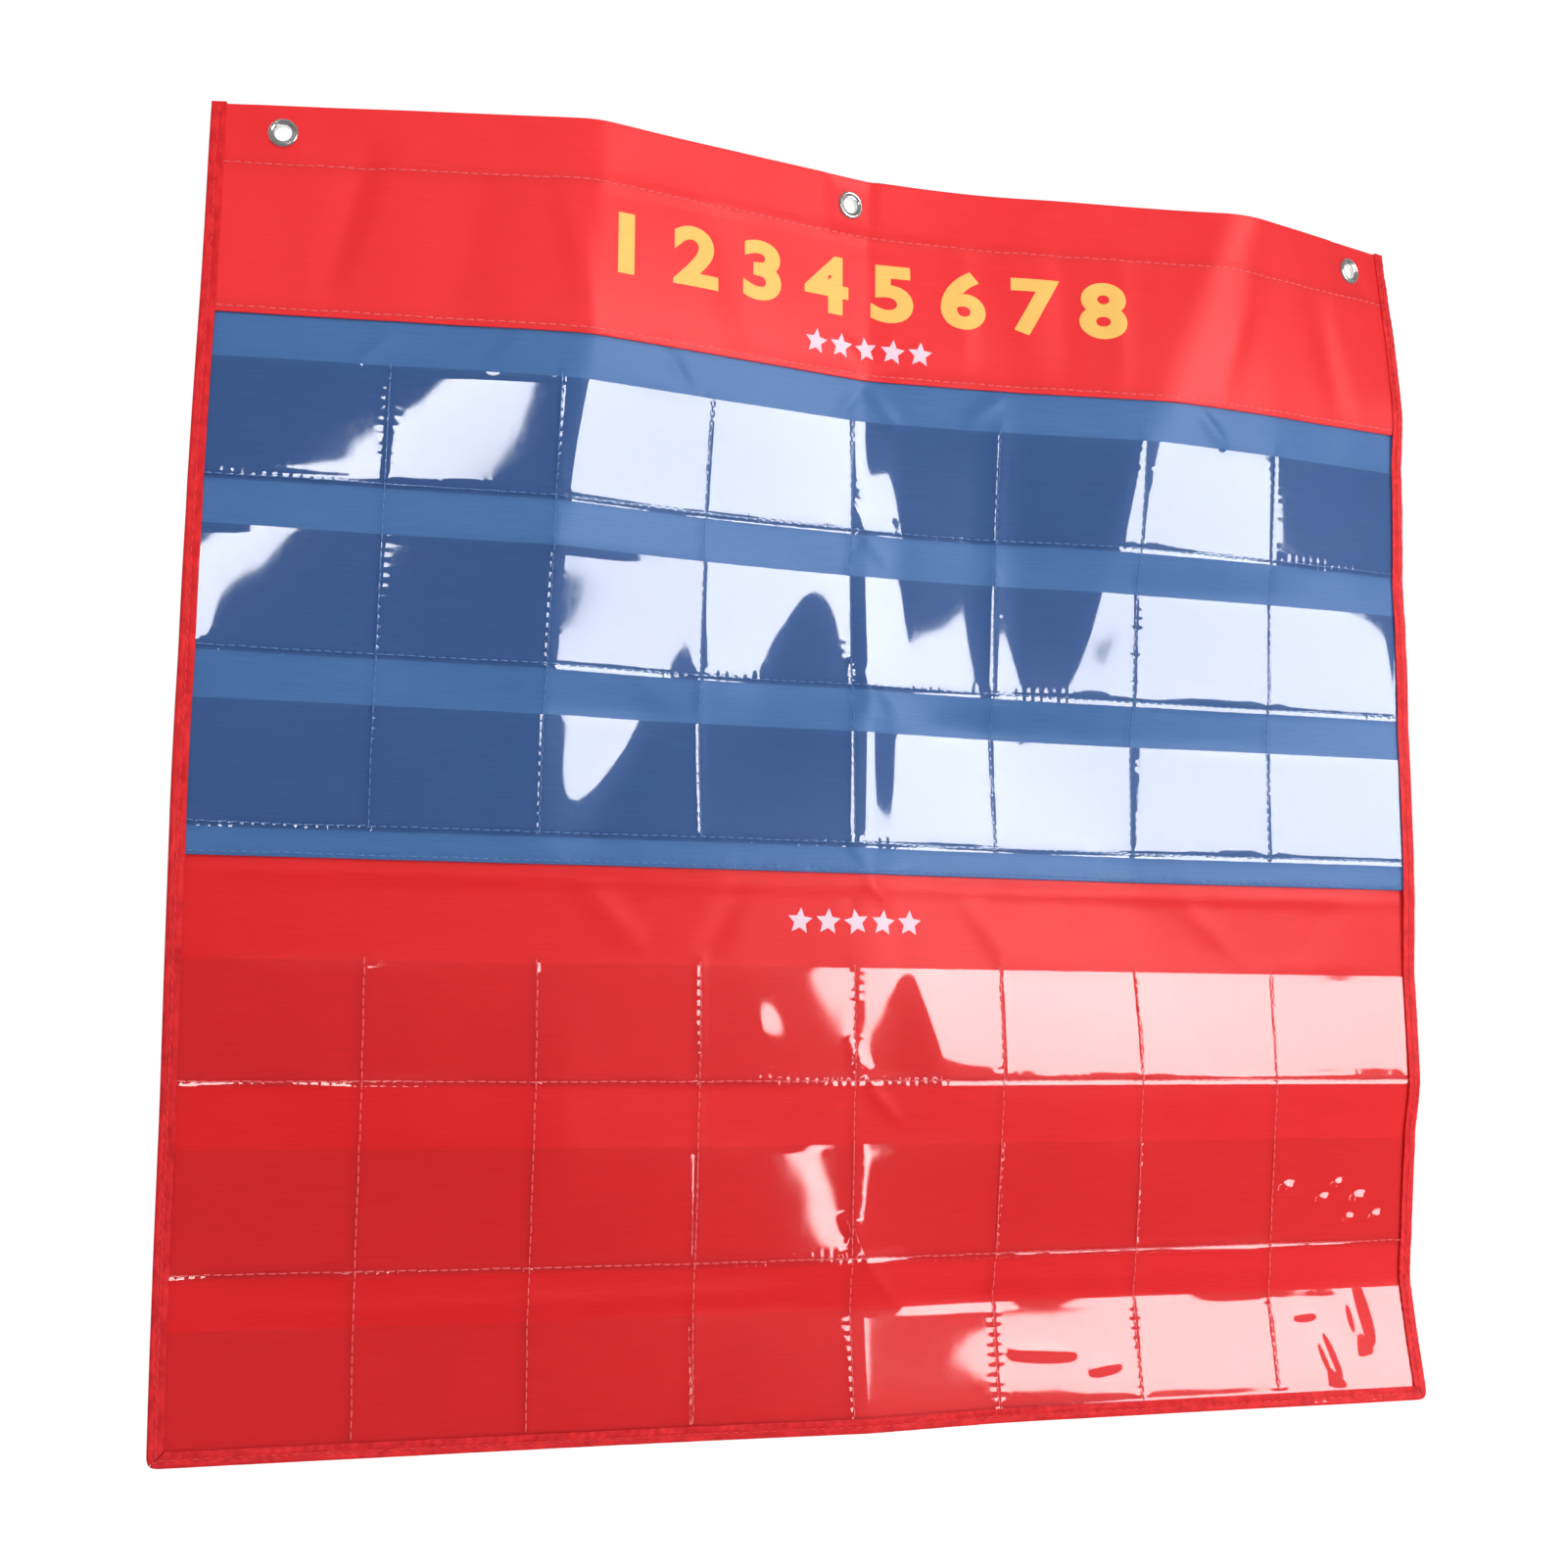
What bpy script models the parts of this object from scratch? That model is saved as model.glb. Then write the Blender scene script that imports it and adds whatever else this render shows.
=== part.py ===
"""Classroom pocket chart that hangs on a wall: cloth panels, clear card pockets, bound edges and eyelets.

Each soft piece is first shaped flat, at its own height in the stack of layers. All of them are then hung on
one draped surface, so that every hem, pocket strip and binding follows the same folds.
Flat pieces lie with x across the chart, z up and y = minus the height above the back of the stack.
"""

import math

import bmesh
import bpy
import numpy as np
from mathutils import Matrix, Vector

# Cloth, clear sheet and the spaces between layers
CLOTH_THICKNESS = 0.0003
VINYL_THICKNESS = 0.00025
TAPE_THICKNESS = 0.0004
LAYER_GAP = 0.0003

# Pockets
POCKET_COLUMNS = 8
POCKET_WIDTH = 0.0834
END_POCKET_EXTRA = 0.0014
UPPER_POCKET_DEPTH = 0.0582
LOWER_POCKET_DEPTH = 0.0574
LAST_POCKET_DEPTH = 0.0530
POCKET_BULGE = 0.0018
STRIP_SEAM_MARGIN = 0.0025

# Heights of the panels, read from the header's top edge down
TOP_HEM_DEPTH = 0.0340
HEADER_HEIGHT = 0.1096
UPPER_FIRST_DROP = 0.0222
UPPER_POCKET_GAP = 0.0248
UPPER_LAST_MARGIN = 0.0160
LOWER_FIRST_DROP = 0.0485
LOWER_FIRST_GAP = 0.0322
LOWER_SECOND_GAP = 0.0259
PANEL_HEM_DEPTH = 0.0095
PANEL_OVERLAP = 0.0110

# Bindings along the sides and the bottom
SIDE_BINDING_WIDTH = 0.0076
BOTTOM_BINDING_WIDTH = 0.0074
BINDING_FOLD_DEPTH = 0.0010
BINDING_TOP_REACH = 0.0008
MITRE_CLEARANCE = 0.00035
CORNER_PULL = 0.0012
CORNER_REACH = 0.0060

# Hanging eyelets and the washers behind them
LEFT_EYELET_INSET = 0.0356
RIGHT_EYELET_INSET = 0.0316
CENTRE_EYELET_OFFSET = -0.0026
EYELET_DROP = 0.0150
EYELET_HOLE_RADIUS = 0.0043
EYELET_WALL = 0.0003
EYELET_RIM_RADIUS = 0.0075
EYELET_CREST_HEIGHT = 0.0010
EYELET_CREST_INSET = 0.0012
EYELET_CREST_WIDTH = 0.0008
EYELET_CURL_REACH = 0.0016
EYELET_CURL_HEIGHT = 0.0008
EYELET_CURL_FLAT = 0.0006
WASHER_RIM_RADIUS = 0.0073
WASHER_THICKNESS = 0.0004
EYELET_SEAT_MARGIN = 0.0012
EYELET_SEAT_FADE = 0.0080

# Depth of the deepest packing fold, and where the sharp crease down the middle runs
FOLD_DEPTH = 0.0270
CREASE_OFFSET = 0.0080
CREASE_ROUNDING = 0.0040
LEFT_RIDGE_SHARE = -0.445
RIGHT_RIDGE_SHARE = 0.66

# Fold depths as shares of the deepest fold, away from the viewer where positive. Each row is one level of
# the chart, given first as a share of its height. Then come the left edge, the left ridge, the left seam,
# the middle crease, the right seam, the right ridge and the right edge.
FOLD_SHARES = (
    (0.0, (0.85, -0.92, -0.32, 0.38, 0.24, -0.66, 0.70)),
    (0.17, (0.25, -0.90, -0.37, 0.33, 0.15, -0.56, 0.20)),
    (0.29, (0.05, -0.62, 0.03, 0.30, 0.50, -0.34, 0.10)),
    (0.435, (-0.04, -0.20, 0.26, 0.04, 0.52, 0.42, 0.10)),
    (0.565, (0.05, -0.12, -0.15, -0.07, 0.22, 0.40, 0.07)),
    (0.735, (0.22, -0.34, -0.30, -0.18, -0.18, 0.04, 0.15)),
    (0.90, (0.20, -0.10, -0.15, -0.15, 0.16, 0.28, 0.37)),
    (1.0, (0.00, -0.08, -0.10, -0.26, 0.05, 0.05, 0.00)),
)

# How far along its last stretch each section of a mitred tape end lies
CORNER_SHARES = (0.65, 0.85, 1.0)

# Counts, parts of a whole, and the angle above which an edge shows as sharp
TURN_SEGMENTS = 3
EYELET_STEPS = 28
HOLE_SIDES = 28
WIDTH_SAMPLES = 60
HALF_SHARE = 0.5
QUARTER_SHARE = 0.25
SHARP_ANGLE = math.radians(45)

# What follows from the sizes above
HALF_WIDTH = HALF_SHARE * POCKET_COLUMNS * POCKET_WIDTH + END_POCKET_EXTRA + SIDE_BINDING_WIDTH
UPPER_PANEL_TOP = HEADER_HEIGHT - PANEL_OVERLAP
UPPER_ROW_1 = HEADER_HEIGHT + UPPER_FIRST_DROP
UPPER_ROW_2 = UPPER_ROW_1 + UPPER_POCKET_DEPTH + UPPER_POCKET_GAP
UPPER_ROW_3 = UPPER_ROW_2 + UPPER_POCKET_DEPTH + UPPER_POCKET_GAP
UPPER_LAST_SEAM = UPPER_ROW_3 + UPPER_POCKET_DEPTH
UPPER_PANEL_END = UPPER_LAST_SEAM + UPPER_LAST_MARGIN
LOWER_PANEL_TOP = UPPER_PANEL_END - PANEL_OVERLAP
LOWER_ROW_1 = UPPER_PANEL_END + LOWER_FIRST_DROP
LOWER_ROW_2 = LOWER_ROW_1 + LOWER_POCKET_DEPTH + LOWER_FIRST_GAP
LOWER_ROW_3 = LOWER_ROW_2 + LOWER_POCKET_DEPTH + LOWER_SECOND_GAP
BOTTOM_BINDING_TOP = LOWER_ROW_3 + LAST_POCKET_DEPTH
CHART_HEIGHT = BOTTOM_BINDING_TOP + BOTTOM_BINDING_WIDTH

LAYER_STEP = CLOTH_THICKNESS + LAYER_GAP
VINYL_STEP = LAYER_GAP + VINYL_THICKNESS
EDGE_INSET = HALF_SHARE * TAPE_THICKNESS + BINDING_FOLD_DEPTH + LAYER_GAP
LAYER_HALF_WIDTH = HALF_WIDTH - EDGE_INSET
LAYER_END = CHART_HEIGHT - EDGE_INSET
SEAMS = tuple((column - HALF_SHARE * POCKET_COLUMNS) * POCKET_WIDTH for column in range(1, POCKET_COLUMNS))
POCKET_EDGES = (SIDE_BINDING_WIDTH - HALF_WIDTH,) + SEAMS + (HALF_WIDTH - SIDE_BINDING_WIDTH,)
MIDDLE_SEAM = POCKET_COLUMNS // 2
FOLD_PLACES = (
    -HALF_WIDTH,
    LEFT_RIDGE_SHARE * HALF_WIDTH,
    POCKET_EDGES[MIDDLE_SEAM - 1],
    CREASE_OFFSET,
    POCKET_EDGES[MIDDLE_SEAM + 1],
    RIGHT_RIDGE_SHARE * HALF_WIDTH,
    HALF_WIDTH,
)
EYELET_PLACES = {
    "left": LEFT_EYELET_INSET - HALF_WIDTH,
    "centre": CENTRE_EYELET_OFFSET,
    "right": HALF_WIDTH - RIGHT_EYELET_INSET,
}
EYELET_SEAT = EYELET_RIM_RADIUS + EYELET_SEAT_MARGIN


def height_through(stations, down):
    """Heights read between (distance down the chart, height) stations."""
    places, heights = zip(*stations)
    return np.interp(down, places, heights)


def header_back(down):
    """The back of the header's front layer: over its top hem, then over the hem turned under below."""
    return height_through(
        ((0.0, LAYER_STEP), (TOP_HEM_DEPTH, LAYER_STEP), (UPPER_PANEL_TOP, 2 * LAYER_STEP)), down
    )


def upper_back(down):
    """The back of the upper panel: at the wall below the header, raised where it laps the lower panel."""
    return height_through(((HEADER_HEIGHT, 0.0), (UPPER_LAST_SEAM, 2 * LAYER_STEP)), down)


def front_of_stack(down):
    """The front of all layers that a side binding holds."""
    hem_front = 2 * LAYER_STEP + CLOTH_THICKNESS
    sheet_front = CLOTH_THICKNESS + VINYL_STEP
    stations = (
        (0.0, LAYER_STEP + CLOTH_THICKNESS),
        (TOP_HEM_DEPTH, LAYER_STEP + CLOTH_THICKNESS),
        (UPPER_PANEL_TOP, hem_front),
        (HEADER_HEIGHT, hem_front),
        (UPPER_ROW_1, sheet_front + upper_back(UPPER_ROW_1)),
        (UPPER_PANEL_END - PANEL_OVERLAP, hem_front + VINYL_STEP),
        (UPPER_PANEL_END, hem_front + VINYL_STEP),
        (LOWER_ROW_1, sheet_front),
        (CHART_HEIGHT, sheet_front),
    )
    return height_through(stations, down)


def smooth_between(places, values, at):
    """A smooth curve through the values, with the mean slope of its neighbours at each place."""
    places = np.asarray(places)
    values = np.asarray(values)
    slopes = np.gradient(values, places, axis=0)
    index = np.clip(np.searchsorted(places, at, side="right") - 1, 0, len(places) - 2)
    span = places[index + 1] - places[index]
    part = ((at - places[index]) / span)[:, None]
    span = span[:, None]
    rise = 3 * part**2 - 2 * part**3
    leave = part - 2 * part**2 + part**3
    arrive = part**3 - part**2
    steady = values[index] * (1 - rise) + values[index + 1] * rise
    return steady + span * (slopes[index] * leave + slopes[index + 1] * arrive)


def folded_depth(across, down):
    """How far the draped cloth stands away from the viewer, without the flat seats of the eyelets."""
    levels, shares = zip(*FOLD_SHARES)
    depths = FOLD_DEPTH * smooth_between(levels, shares, np.clip(down / CHART_HEIGHT, 0, 1))
    places = np.asarray(FOLD_PLACES)
    index = np.clip(np.searchsorted(places, across, side="right") - 1, 0, len(places) - 2)
    rows = np.arange(len(across))
    slopes = np.diff(depths, axis=1) / np.diff(places)
    depth = depths[rows, index] + slopes[rows, index] * (across - places[index])
    crease = FOLD_PLACES.index(CREASE_OFFSET)
    bend = slopes[:, crease] - slopes[:, crease - 1]
    inside = np.clip(CREASE_ROUNDING - np.abs(across - CREASE_OFFSET), 0, None)
    return depth + bend * inside**2 / (4 * CREASE_ROUNDING)


def depth_and_slopes(across, down, depth_of):
    """A depth with its slope across and down the chart."""
    step = LAYER_GAP
    depth = depth_of(across, down)
    slope_across = (depth_of(across + step, down) - depth_of(across - step, down)) / (2 * step)
    slope_down = (depth_of(across, down + step) - depth_of(across, down - step)) / (2 * step)
    return depth, slope_across, slope_down


def draped_depth(across, down):
    """The folded cloth, held flat where an eyelet is set."""
    depth = folded_depth(across, down)
    for place in EYELET_PLACES.values():
        here = (np.array([place]), np.array([EYELET_DROP]))
        level, slope_across, slope_down = depth_and_slopes(*here, folded_depth)
        flat = level + slope_across * (across - place) + slope_down * (down - EYELET_DROP)
        away = np.maximum(np.abs(across - place), np.abs(down - EYELET_DROP))
        hold = np.clip((EYELET_SEAT + EYELET_SEAT_FADE - away) / EYELET_SEAT_FADE, 0, 1)
        depth = depth + hold * (flat - depth)
    return depth


def plan_place(across, down):
    """Where a point of the cloth lands across the chart, once the folds have drawn the cloth in."""
    shares = (np.arange(WIDTH_SAMPLES) + HALF_SHARE) / WIDTH_SAMPLES
    along = (across[:, None] * shares).ravel()
    levels = np.repeat(down, WIDTH_SAMPLES)
    slope = depth_and_slopes(along, levels, folded_depth)[1]
    drawn_in = np.sqrt(1 - slope**2).reshape(len(across), WIDTH_SAMPLES)
    return across * drawn_in.mean(axis=1)


def rounded_corners(across, down):
    """The cloth near the two lower corners, drawn in so that the corners come out round."""
    gap = np.hypot(np.abs(across) - HALF_WIDTH, down - CHART_HEIGHT)
    pull = CORNER_PULL * np.clip(1 - gap / CORNER_REACH, 0, 1) ** 2
    return across - np.sign(across) * pull, down - pull


def surface_frame(across, down):
    """The draped surface's points, and its directions towards the viewer and across the chart."""
    across, down = rounded_corners(across, down)
    depth, slope_across, slope_down = depth_and_slopes(across, down, draped_depth)
    width = np.sqrt(1 - slope_across**2)
    points = np.stack([plan_place(across, down), depth, -down], axis=1)
    facing = np.stack([slope_across, -width, -width * slope_down], axis=1)
    facing /= np.linalg.norm(facing, axis=1)[:, None]
    sideways = np.stack([width, slope_across, np.zeros_like(width)], axis=1)
    return points, facing, sideways


def eyelet_frame(place):
    """Where one eyelet sits on the cloth, as a point on the back of the hem and two directions."""
    points, facing, sideways = surface_frame(np.array([place]), np.array([EYELET_DROP]))
    return points[0], facing[0], sideways[0]


def hanging_point():
    """The middle of the centre eyelet, from which everything is measured."""
    point, facing, _ = eyelet_frame(EYELET_PLACES["centre"])
    return point + HALF_SHARE * (LAYER_STEP + CLOTH_THICKNESS) * facing


def hung(points):
    """Flat points laid on the draped surface, each at its own height above it."""
    surface, facing, _ = surface_frame(points[:, 0], -points[:, 2])
    return surface - points[:, 1:2] * facing - hanging_point()


def fold_stations():
    """Places across the chart where the cloth is folded."""
    return list(FOLD_PLACES[1:-1]) + [CREASE_OFFSET - CREASE_ROUNDING, CREASE_OFFSET + CREASE_ROUNDING]


def width_stations():
    """Places across the chart where a pocket strip and its panel bend: folds, seams and pocket middles."""
    middles = [HALF_SHARE * (left + right) for left, right in zip(POCKET_EDGES, POCKET_EDGES[1:])]
    return middles + list(POCKET_EDGES) + fold_stations()


def between(places, start, end, least=LAYER_GAP):
    """The places from start to end, in order, both ends among them, with none closer than the least step."""
    kept = [start]
    for place in sorted(places):
        if kept[-1] + least < place < end - least:
            kept.append(place)
    return kept + [end]


def down_stations():
    """Distances down the chart where the layers share a bend."""
    places = [EYELET_DROP - EYELET_SEAT, EYELET_DROP + EYELET_SEAT, TOP_HEM_DEPTH]
    places += [HALF_SHARE * (TOP_HEM_DEPTH + UPPER_PANEL_TOP), UPPER_PANEL_TOP]
    places += [HEADER_HEIGHT - PANEL_HEM_DEPTH, HEADER_HEIGHT]
    for top in (UPPER_ROW_1, UPPER_ROW_2, UPPER_ROW_3):
        places += [top, top + HALF_SHARE * UPPER_POCKET_DEPTH, top + UPPER_POCKET_DEPTH]
    places += [LOWER_PANEL_TOP, UPPER_PANEL_END - PANEL_HEM_DEPTH, UPPER_PANEL_END]
    places += [HALF_SHARE * (UPPER_PANEL_END + LOWER_ROW_1)]
    for top in (LOWER_ROW_1, LOWER_ROW_2):
        places += [top, top + HALF_SHARE * LOWER_POCKET_DEPTH, top + LOWER_POCKET_DEPTH]
    return places + [LOWER_ROW_3, LOWER_ROW_3 + HALF_SHARE * LAST_POCKET_DEPTH, BOTTOM_BINDING_TOP]


def half_turn(edge, start, end, towards):
    """Points (down, height) of a cloth turned back at an edge, from one layer's middle to the other's."""
    radius = HALF_SHARE * abs(start - end)
    centre = edge - towards * (radius + HALF_SHARE * CLOTH_THICKNESS)
    middle = HALF_SHARE * (start + end)
    rise = HALF_SHARE * (start - end)
    turns = [math.pi * (HALF_SHARE - step / TURN_SEGMENTS) for step in range(TURN_SEGMENTS + 1)]
    return [(centre + towards * radius * math.cos(turn), middle + rise * math.sin(turn)) for turn in turns]


def collection_named(name):
    """A collection of the scene, made once."""
    found = bpy.data.collections.new(name)
    bpy.context.scene.collection.children.link(found)
    return found


def finish(name, colour, roughness, metallic=0.0, transmission=0.0):
    """A plain surface in one colour."""
    material = bpy.data.materials.new(name)
    material.use_nodes = True
    shader = material.node_tree.nodes["Principled BSDF"]
    shader.inputs["Base Color"].default_value = colour
    shader.inputs["Roughness"].default_value = roughness
    shader.inputs["Metallic"].default_value = metallic
    shader.inputs["Transmission Weight"].default_value = transmission
    material.diffuse_color = colour
    return material


def red_cloth():
    return finish("red_cloth", (0.82, 0.045, 0.055, 1.0), 0.45)


def deep_red_cloth():
    return finish("deep_red_cloth", (0.72, 0.03, 0.04, 1.0), 0.45)


def blue_cloth():
    return finish("blue_cloth", (0.055, 0.16, 0.38, 1.0), 0.5)


def red_tape():
    return finish("red_tape", (0.70, 0.03, 0.04, 1.0), 0.6)


def clear_vinyl():
    return finish("clear_vinyl", (0.9, 0.94, 1.0, 1.0), 0.05, transmission=0.9)


def nickel():
    return finish("nickel", (0.82, 0.81, 0.79, 1.0), 0.15, metallic=1.0)


def new_object(name, mesh, collection, material=None):
    """An object in a collection, with its material."""
    made = bpy.data.objects.new(name, mesh)
    collection.objects.link(made)
    if material:
        mesh.materials.append(material)
    return made


def lofted(name, sections, collection, material):
    """An open sheet through rows of points. Every cell is split the same way, so that layers bend alike."""
    form = bmesh.new()
    rows = [[form.verts.new(point) for point in section] for section in sections]
    for row, following in zip(rows, rows[1:]):
        for corner in range(len(row) - 1):
            form.faces.new((row[corner], row[corner + 1], following[corner + 1]))
            form.faces.new((row[corner], following[corner + 1], following[corner]))
    mesh = bpy.data.meshes.new(name)
    form.to_mesh(mesh)
    form.free()
    return new_object(name, mesh, collection, material)


def thicken(sheet, thickness):
    """The sheet's own thickness, half to each side of it."""
    solidify = sheet.modifiers.new("thickness", "SOLIDIFY")
    solidify.thickness = thickness
    solidify.offset = 0
    solidify.use_even_offset = True
    solidify.use_quality_normals = True


def settle(piece):
    """The piece's modifiers made part of its mesh, with every face pointing out."""
    bpy.context.view_layer.update()
    graph = bpy.context.evaluated_depsgraph_get()
    mesh = bpy.data.meshes.new_from_object(piece.evaluated_get(graph))
    piece.modifiers.clear()
    form = bmesh.new()
    form.from_mesh(mesh)
    bmesh.ops.recalc_face_normals(form, faces=form.faces)
    form.to_mesh(mesh)
    form.free()
    mesh.name = piece.name
    piece.data = mesh


def hang(piece):
    """The flat piece draped with the rest of the chart."""
    settle(piece)
    count = len(piece.data.vertices)
    flat = np.empty(count * 3, np.float32)
    piece.data.vertices.foreach_get("co", flat)
    draped = hung(flat.reshape(count, 3).astype(np.float64))
    piece.data.vertices.foreach_set("co", draped.astype(np.float32).ravel())
    piece.data.shade_smooth()
    piece.data.set_sharp_from_angle(angle=SHARP_ANGLE)
    piece.data.update()


def flat_panel(name, across_places, section, collection, material):
    """A panel cut flat: its section of (down, height) points carried across the chart, then thickened."""
    rows = [[(across, -height, -down) for down, height in section] for across in across_places]
    panel = lofted(name, rows, collection, material)
    thicken(panel, CLOTH_THICKNESS)
    return panel


def header_section():
    """The top hem folded behind, the front layer, and the lower hem turned under."""
    middle = HALF_SHARE * CLOTH_THICKNESS
    hem_end = HEADER_HEIGHT - PANEL_HEM_DEPTH
    hem = [(down, middle) for down in between(down_stations(), 2 * LAYER_STEP, TOP_HEM_DEPTH)[1:]]
    top_turn = half_turn(0.0, middle, LAYER_STEP + middle, -1)
    levels = between(down_stations(), 2 * LAYER_STEP, HEADER_HEIGHT - 2 * LAYER_STEP)[1:-1]
    front = [(down, float(header_back(down)) + middle) for down in levels]
    lower_turn = half_turn(HEADER_HEIGHT, 2 * LAYER_STEP + middle, LAYER_STEP + middle, 1)
    return hem[::-1] + top_turn + front + lower_turn + [(hem_end, LAYER_STEP + middle)]


def upper_section():
    """The upper panel from behind the header's hem down to its own hem, turned under."""
    middle = HALF_SHARE * CLOTH_THICKNESS
    levels = between(down_stations(), UPPER_PANEL_TOP, UPPER_PANEL_END - 2 * LAYER_STEP)[:-1]
    front = [(down, float(upper_back(down)) + middle) for down in levels]
    turn = half_turn(UPPER_PANEL_END, 2 * LAYER_STEP + middle, LAYER_STEP + middle, 1)
    return front + turn + [(UPPER_PANEL_END - PANEL_HEM_DEPTH, LAYER_STEP + middle)]


def lower_section():
    """The lower panel from behind the upper panel's hem into the bottom binding."""
    levels = between(down_stations(), LOWER_PANEL_TOP, LAYER_END)
    return [(down, HALF_SHARE * CLOTH_THICKNESS) for down in levels]


def cut_eyelet_holes(panel, cutters):
    """Three round holes through the flat hem, each a little wider than its eyelet's barrel."""
    radius = EYELET_HOLE_RADIUS + EYELET_WALL + LAYER_GAP
    for side, place in EYELET_PLACES.items():
        bpy.ops.mesh.primitive_cylinder_add(
            vertices=HOLE_SIDES,
            radius=radius,
            depth=EYELET_RIM_RADIUS,
            location=(place, 0, -EYELET_DROP),
            rotation=(HALF_SHARE * math.pi, 0, 0),
        )
        cutter = bpy.context.object
        cutter.name = side + "_hole_cutter"
        for holder in list(cutter.users_collection):
            holder.objects.unlink(cutter)
        cutters.objects.link(cutter)
        cutter.hide_render = True
        cutter.display_type = "WIRE"
        cut = panel.modifiers.new(side + "_hole", "BOOLEAN")
        cut.operation = "DIFFERENCE"
        cut.object = cutter


def build_panels(collection, cutters):
    """The header over the upper panel over the lower panel, like tiles."""
    seats = [place + step for place in EYELET_PLACES.values() for step in (-EYELET_SEAT, EYELET_SEAT)]
    wide = between(width_stations(), -LAYER_HALF_WIDTH, LAYER_HALF_WIDTH)
    header_places = fold_stations() + seats + [SEAMS[0], SEAMS[-1]]
    header_wide = between(header_places, -LAYER_HALF_WIDTH, LAYER_HALF_WIDTH)
    header = flat_panel("header_panel", header_wide, header_section(), collection, red_cloth())
    cut_eyelet_holes(header, cutters)
    upper = flat_panel("upper_panel", wide, upper_section(), collection, blue_cloth())
    lower = flat_panel("lower_panel", wide, lower_section(), collection, deep_red_cloth())
    for panel in (header, upper, lower):
        hang(panel)


def pocket_bulge(across, share_down):
    """How far a clear front stands open: most in the middle of a pocket's mouth, none at its seams."""
    for left, right in zip(POCKET_EDGES, POCKET_EDGES[1:]):
        if left < across < right:
            share = (across - left) / (right - left)
            return POCKET_BULGE * math.sin(math.pi * share) * max(0.0, 1 - share_down)
    return 0.0


def pocket_strip(name, mouth, seam, end, back_of, collection, material):
    """One clear strip across the chart, open along its top edge and sewn down between its pockets."""
    rows = []
    for across in between(width_stations(), -LAYER_HALF_WIDTH, LAYER_HALF_WIDTH):
        row = []
        for down in (mouth, HALF_SHARE * (mouth + seam), seam, end):
            rest = float(back_of(down)) + CLOTH_THICKNESS + LAYER_GAP + HALF_SHARE * VINYL_THICKNESS
            height = rest + pocket_bulge(across, (down - mouth) / (seam - mouth))
            row.append((across, -height, -down))
        rows.append(row)
    strip = lofted(name, rows, collection, material)
    thicken(strip, VINYL_THICKNESS)
    hang(strip)


def lower_back(_down):
    """The back of the lower panel, which is the back of the whole stack at every level."""
    return 0.0


def build_pocket_strips(collection):
    """Three strips on the upper panel and three on the lower one, the last of them in the bottom binding."""
    vinyl = clear_vinyl()
    for number, mouth in enumerate((UPPER_ROW_1, UPPER_ROW_2, UPPER_ROW_3), 1):
        seam = mouth + UPPER_POCKET_DEPTH
        name = f"upper_pocket_strip_{number}"
        pocket_strip(name, mouth, seam, seam + STRIP_SEAM_MARGIN, upper_back, collection, vinyl)
    for number, mouth in enumerate((LOWER_ROW_1, LOWER_ROW_2), 1):
        seam = mouth + LOWER_POCKET_DEPTH
        name = f"lower_pocket_strip_{number}"
        pocket_strip(name, mouth, seam, seam + STRIP_SEAM_MARGIN, lower_back, collection, vinyl)
    name = "lower_pocket_strip_3"
    pocket_strip(name, LOWER_ROW_3, BOTTOM_BINDING_TOP, LAYER_END, lower_back, collection, vinyl)


def folded_tape(width, front, back):
    """Points (distance from the outer edge, height) of a tape folded round an edge of the chart."""
    front_middle = front + LAYER_GAP + HALF_SHARE * TAPE_THICKNESS
    back_middle = back - LAYER_GAP - HALF_SHARE * TAPE_THICKNESS
    start = HALF_SHARE * TAPE_THICKNESS + BINDING_FOLD_DEPTH
    middle = HALF_SHARE * (front_middle + back_middle)
    rise = HALF_SHARE * (front_middle - back_middle)
    turns = [math.pi * (HALF_SHARE - step / TURN_SEGMENTS) for step in range(TURN_SEGMENTS + 1)]
    fold = [(start - BINDING_FOLD_DEPTH * math.cos(turn), middle + rise * math.sin(turn)) for turn in turns]
    return [(width, front_middle)] + fold + [(width, back_middle)]


def towards_mitre(start, end):
    """Places from the last straight section of a tape to its mitred end."""
    return [start + share * (end - start) for share in CORNER_SHARES]


def side_binding(name, side, collection, material):
    """A tape folded round one side edge, mitred where it meets the bottom tape."""
    slant = BOTTOM_BINDING_WIDTH / SIDE_BINDING_WIDTH
    last = BOTTOM_BINDING_TOP - CORNER_REACH
    sections = []
    for down in between(down_stations(), -BINDING_TOP_REACH, last):
        tape = folded_tape(SIDE_BINDING_WIDTH, float(front_of_stack(down)), 0.0)
        sections.append([(side * (HALF_WIDTH - inset), -height, -down) for inset, height in tape])
    tape = folded_tape(SIDE_BINDING_WIDTH, float(front_of_stack(CHART_HEIGHT)), 0.0)
    runs = [towards_mitre(last, CHART_HEIGHT - slant * inset - MITRE_CLEARANCE) for inset, _ in tape]
    for downs in zip(*runs):
        sections.append(
            [(side * (HALF_WIDTH - inset), -height, -down) for down, (inset, height) in zip(downs, tape)]
        )
    binding = lofted(name, sections, collection, material)
    thicken(binding, TAPE_THICKNESS)
    hang(binding)


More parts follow.
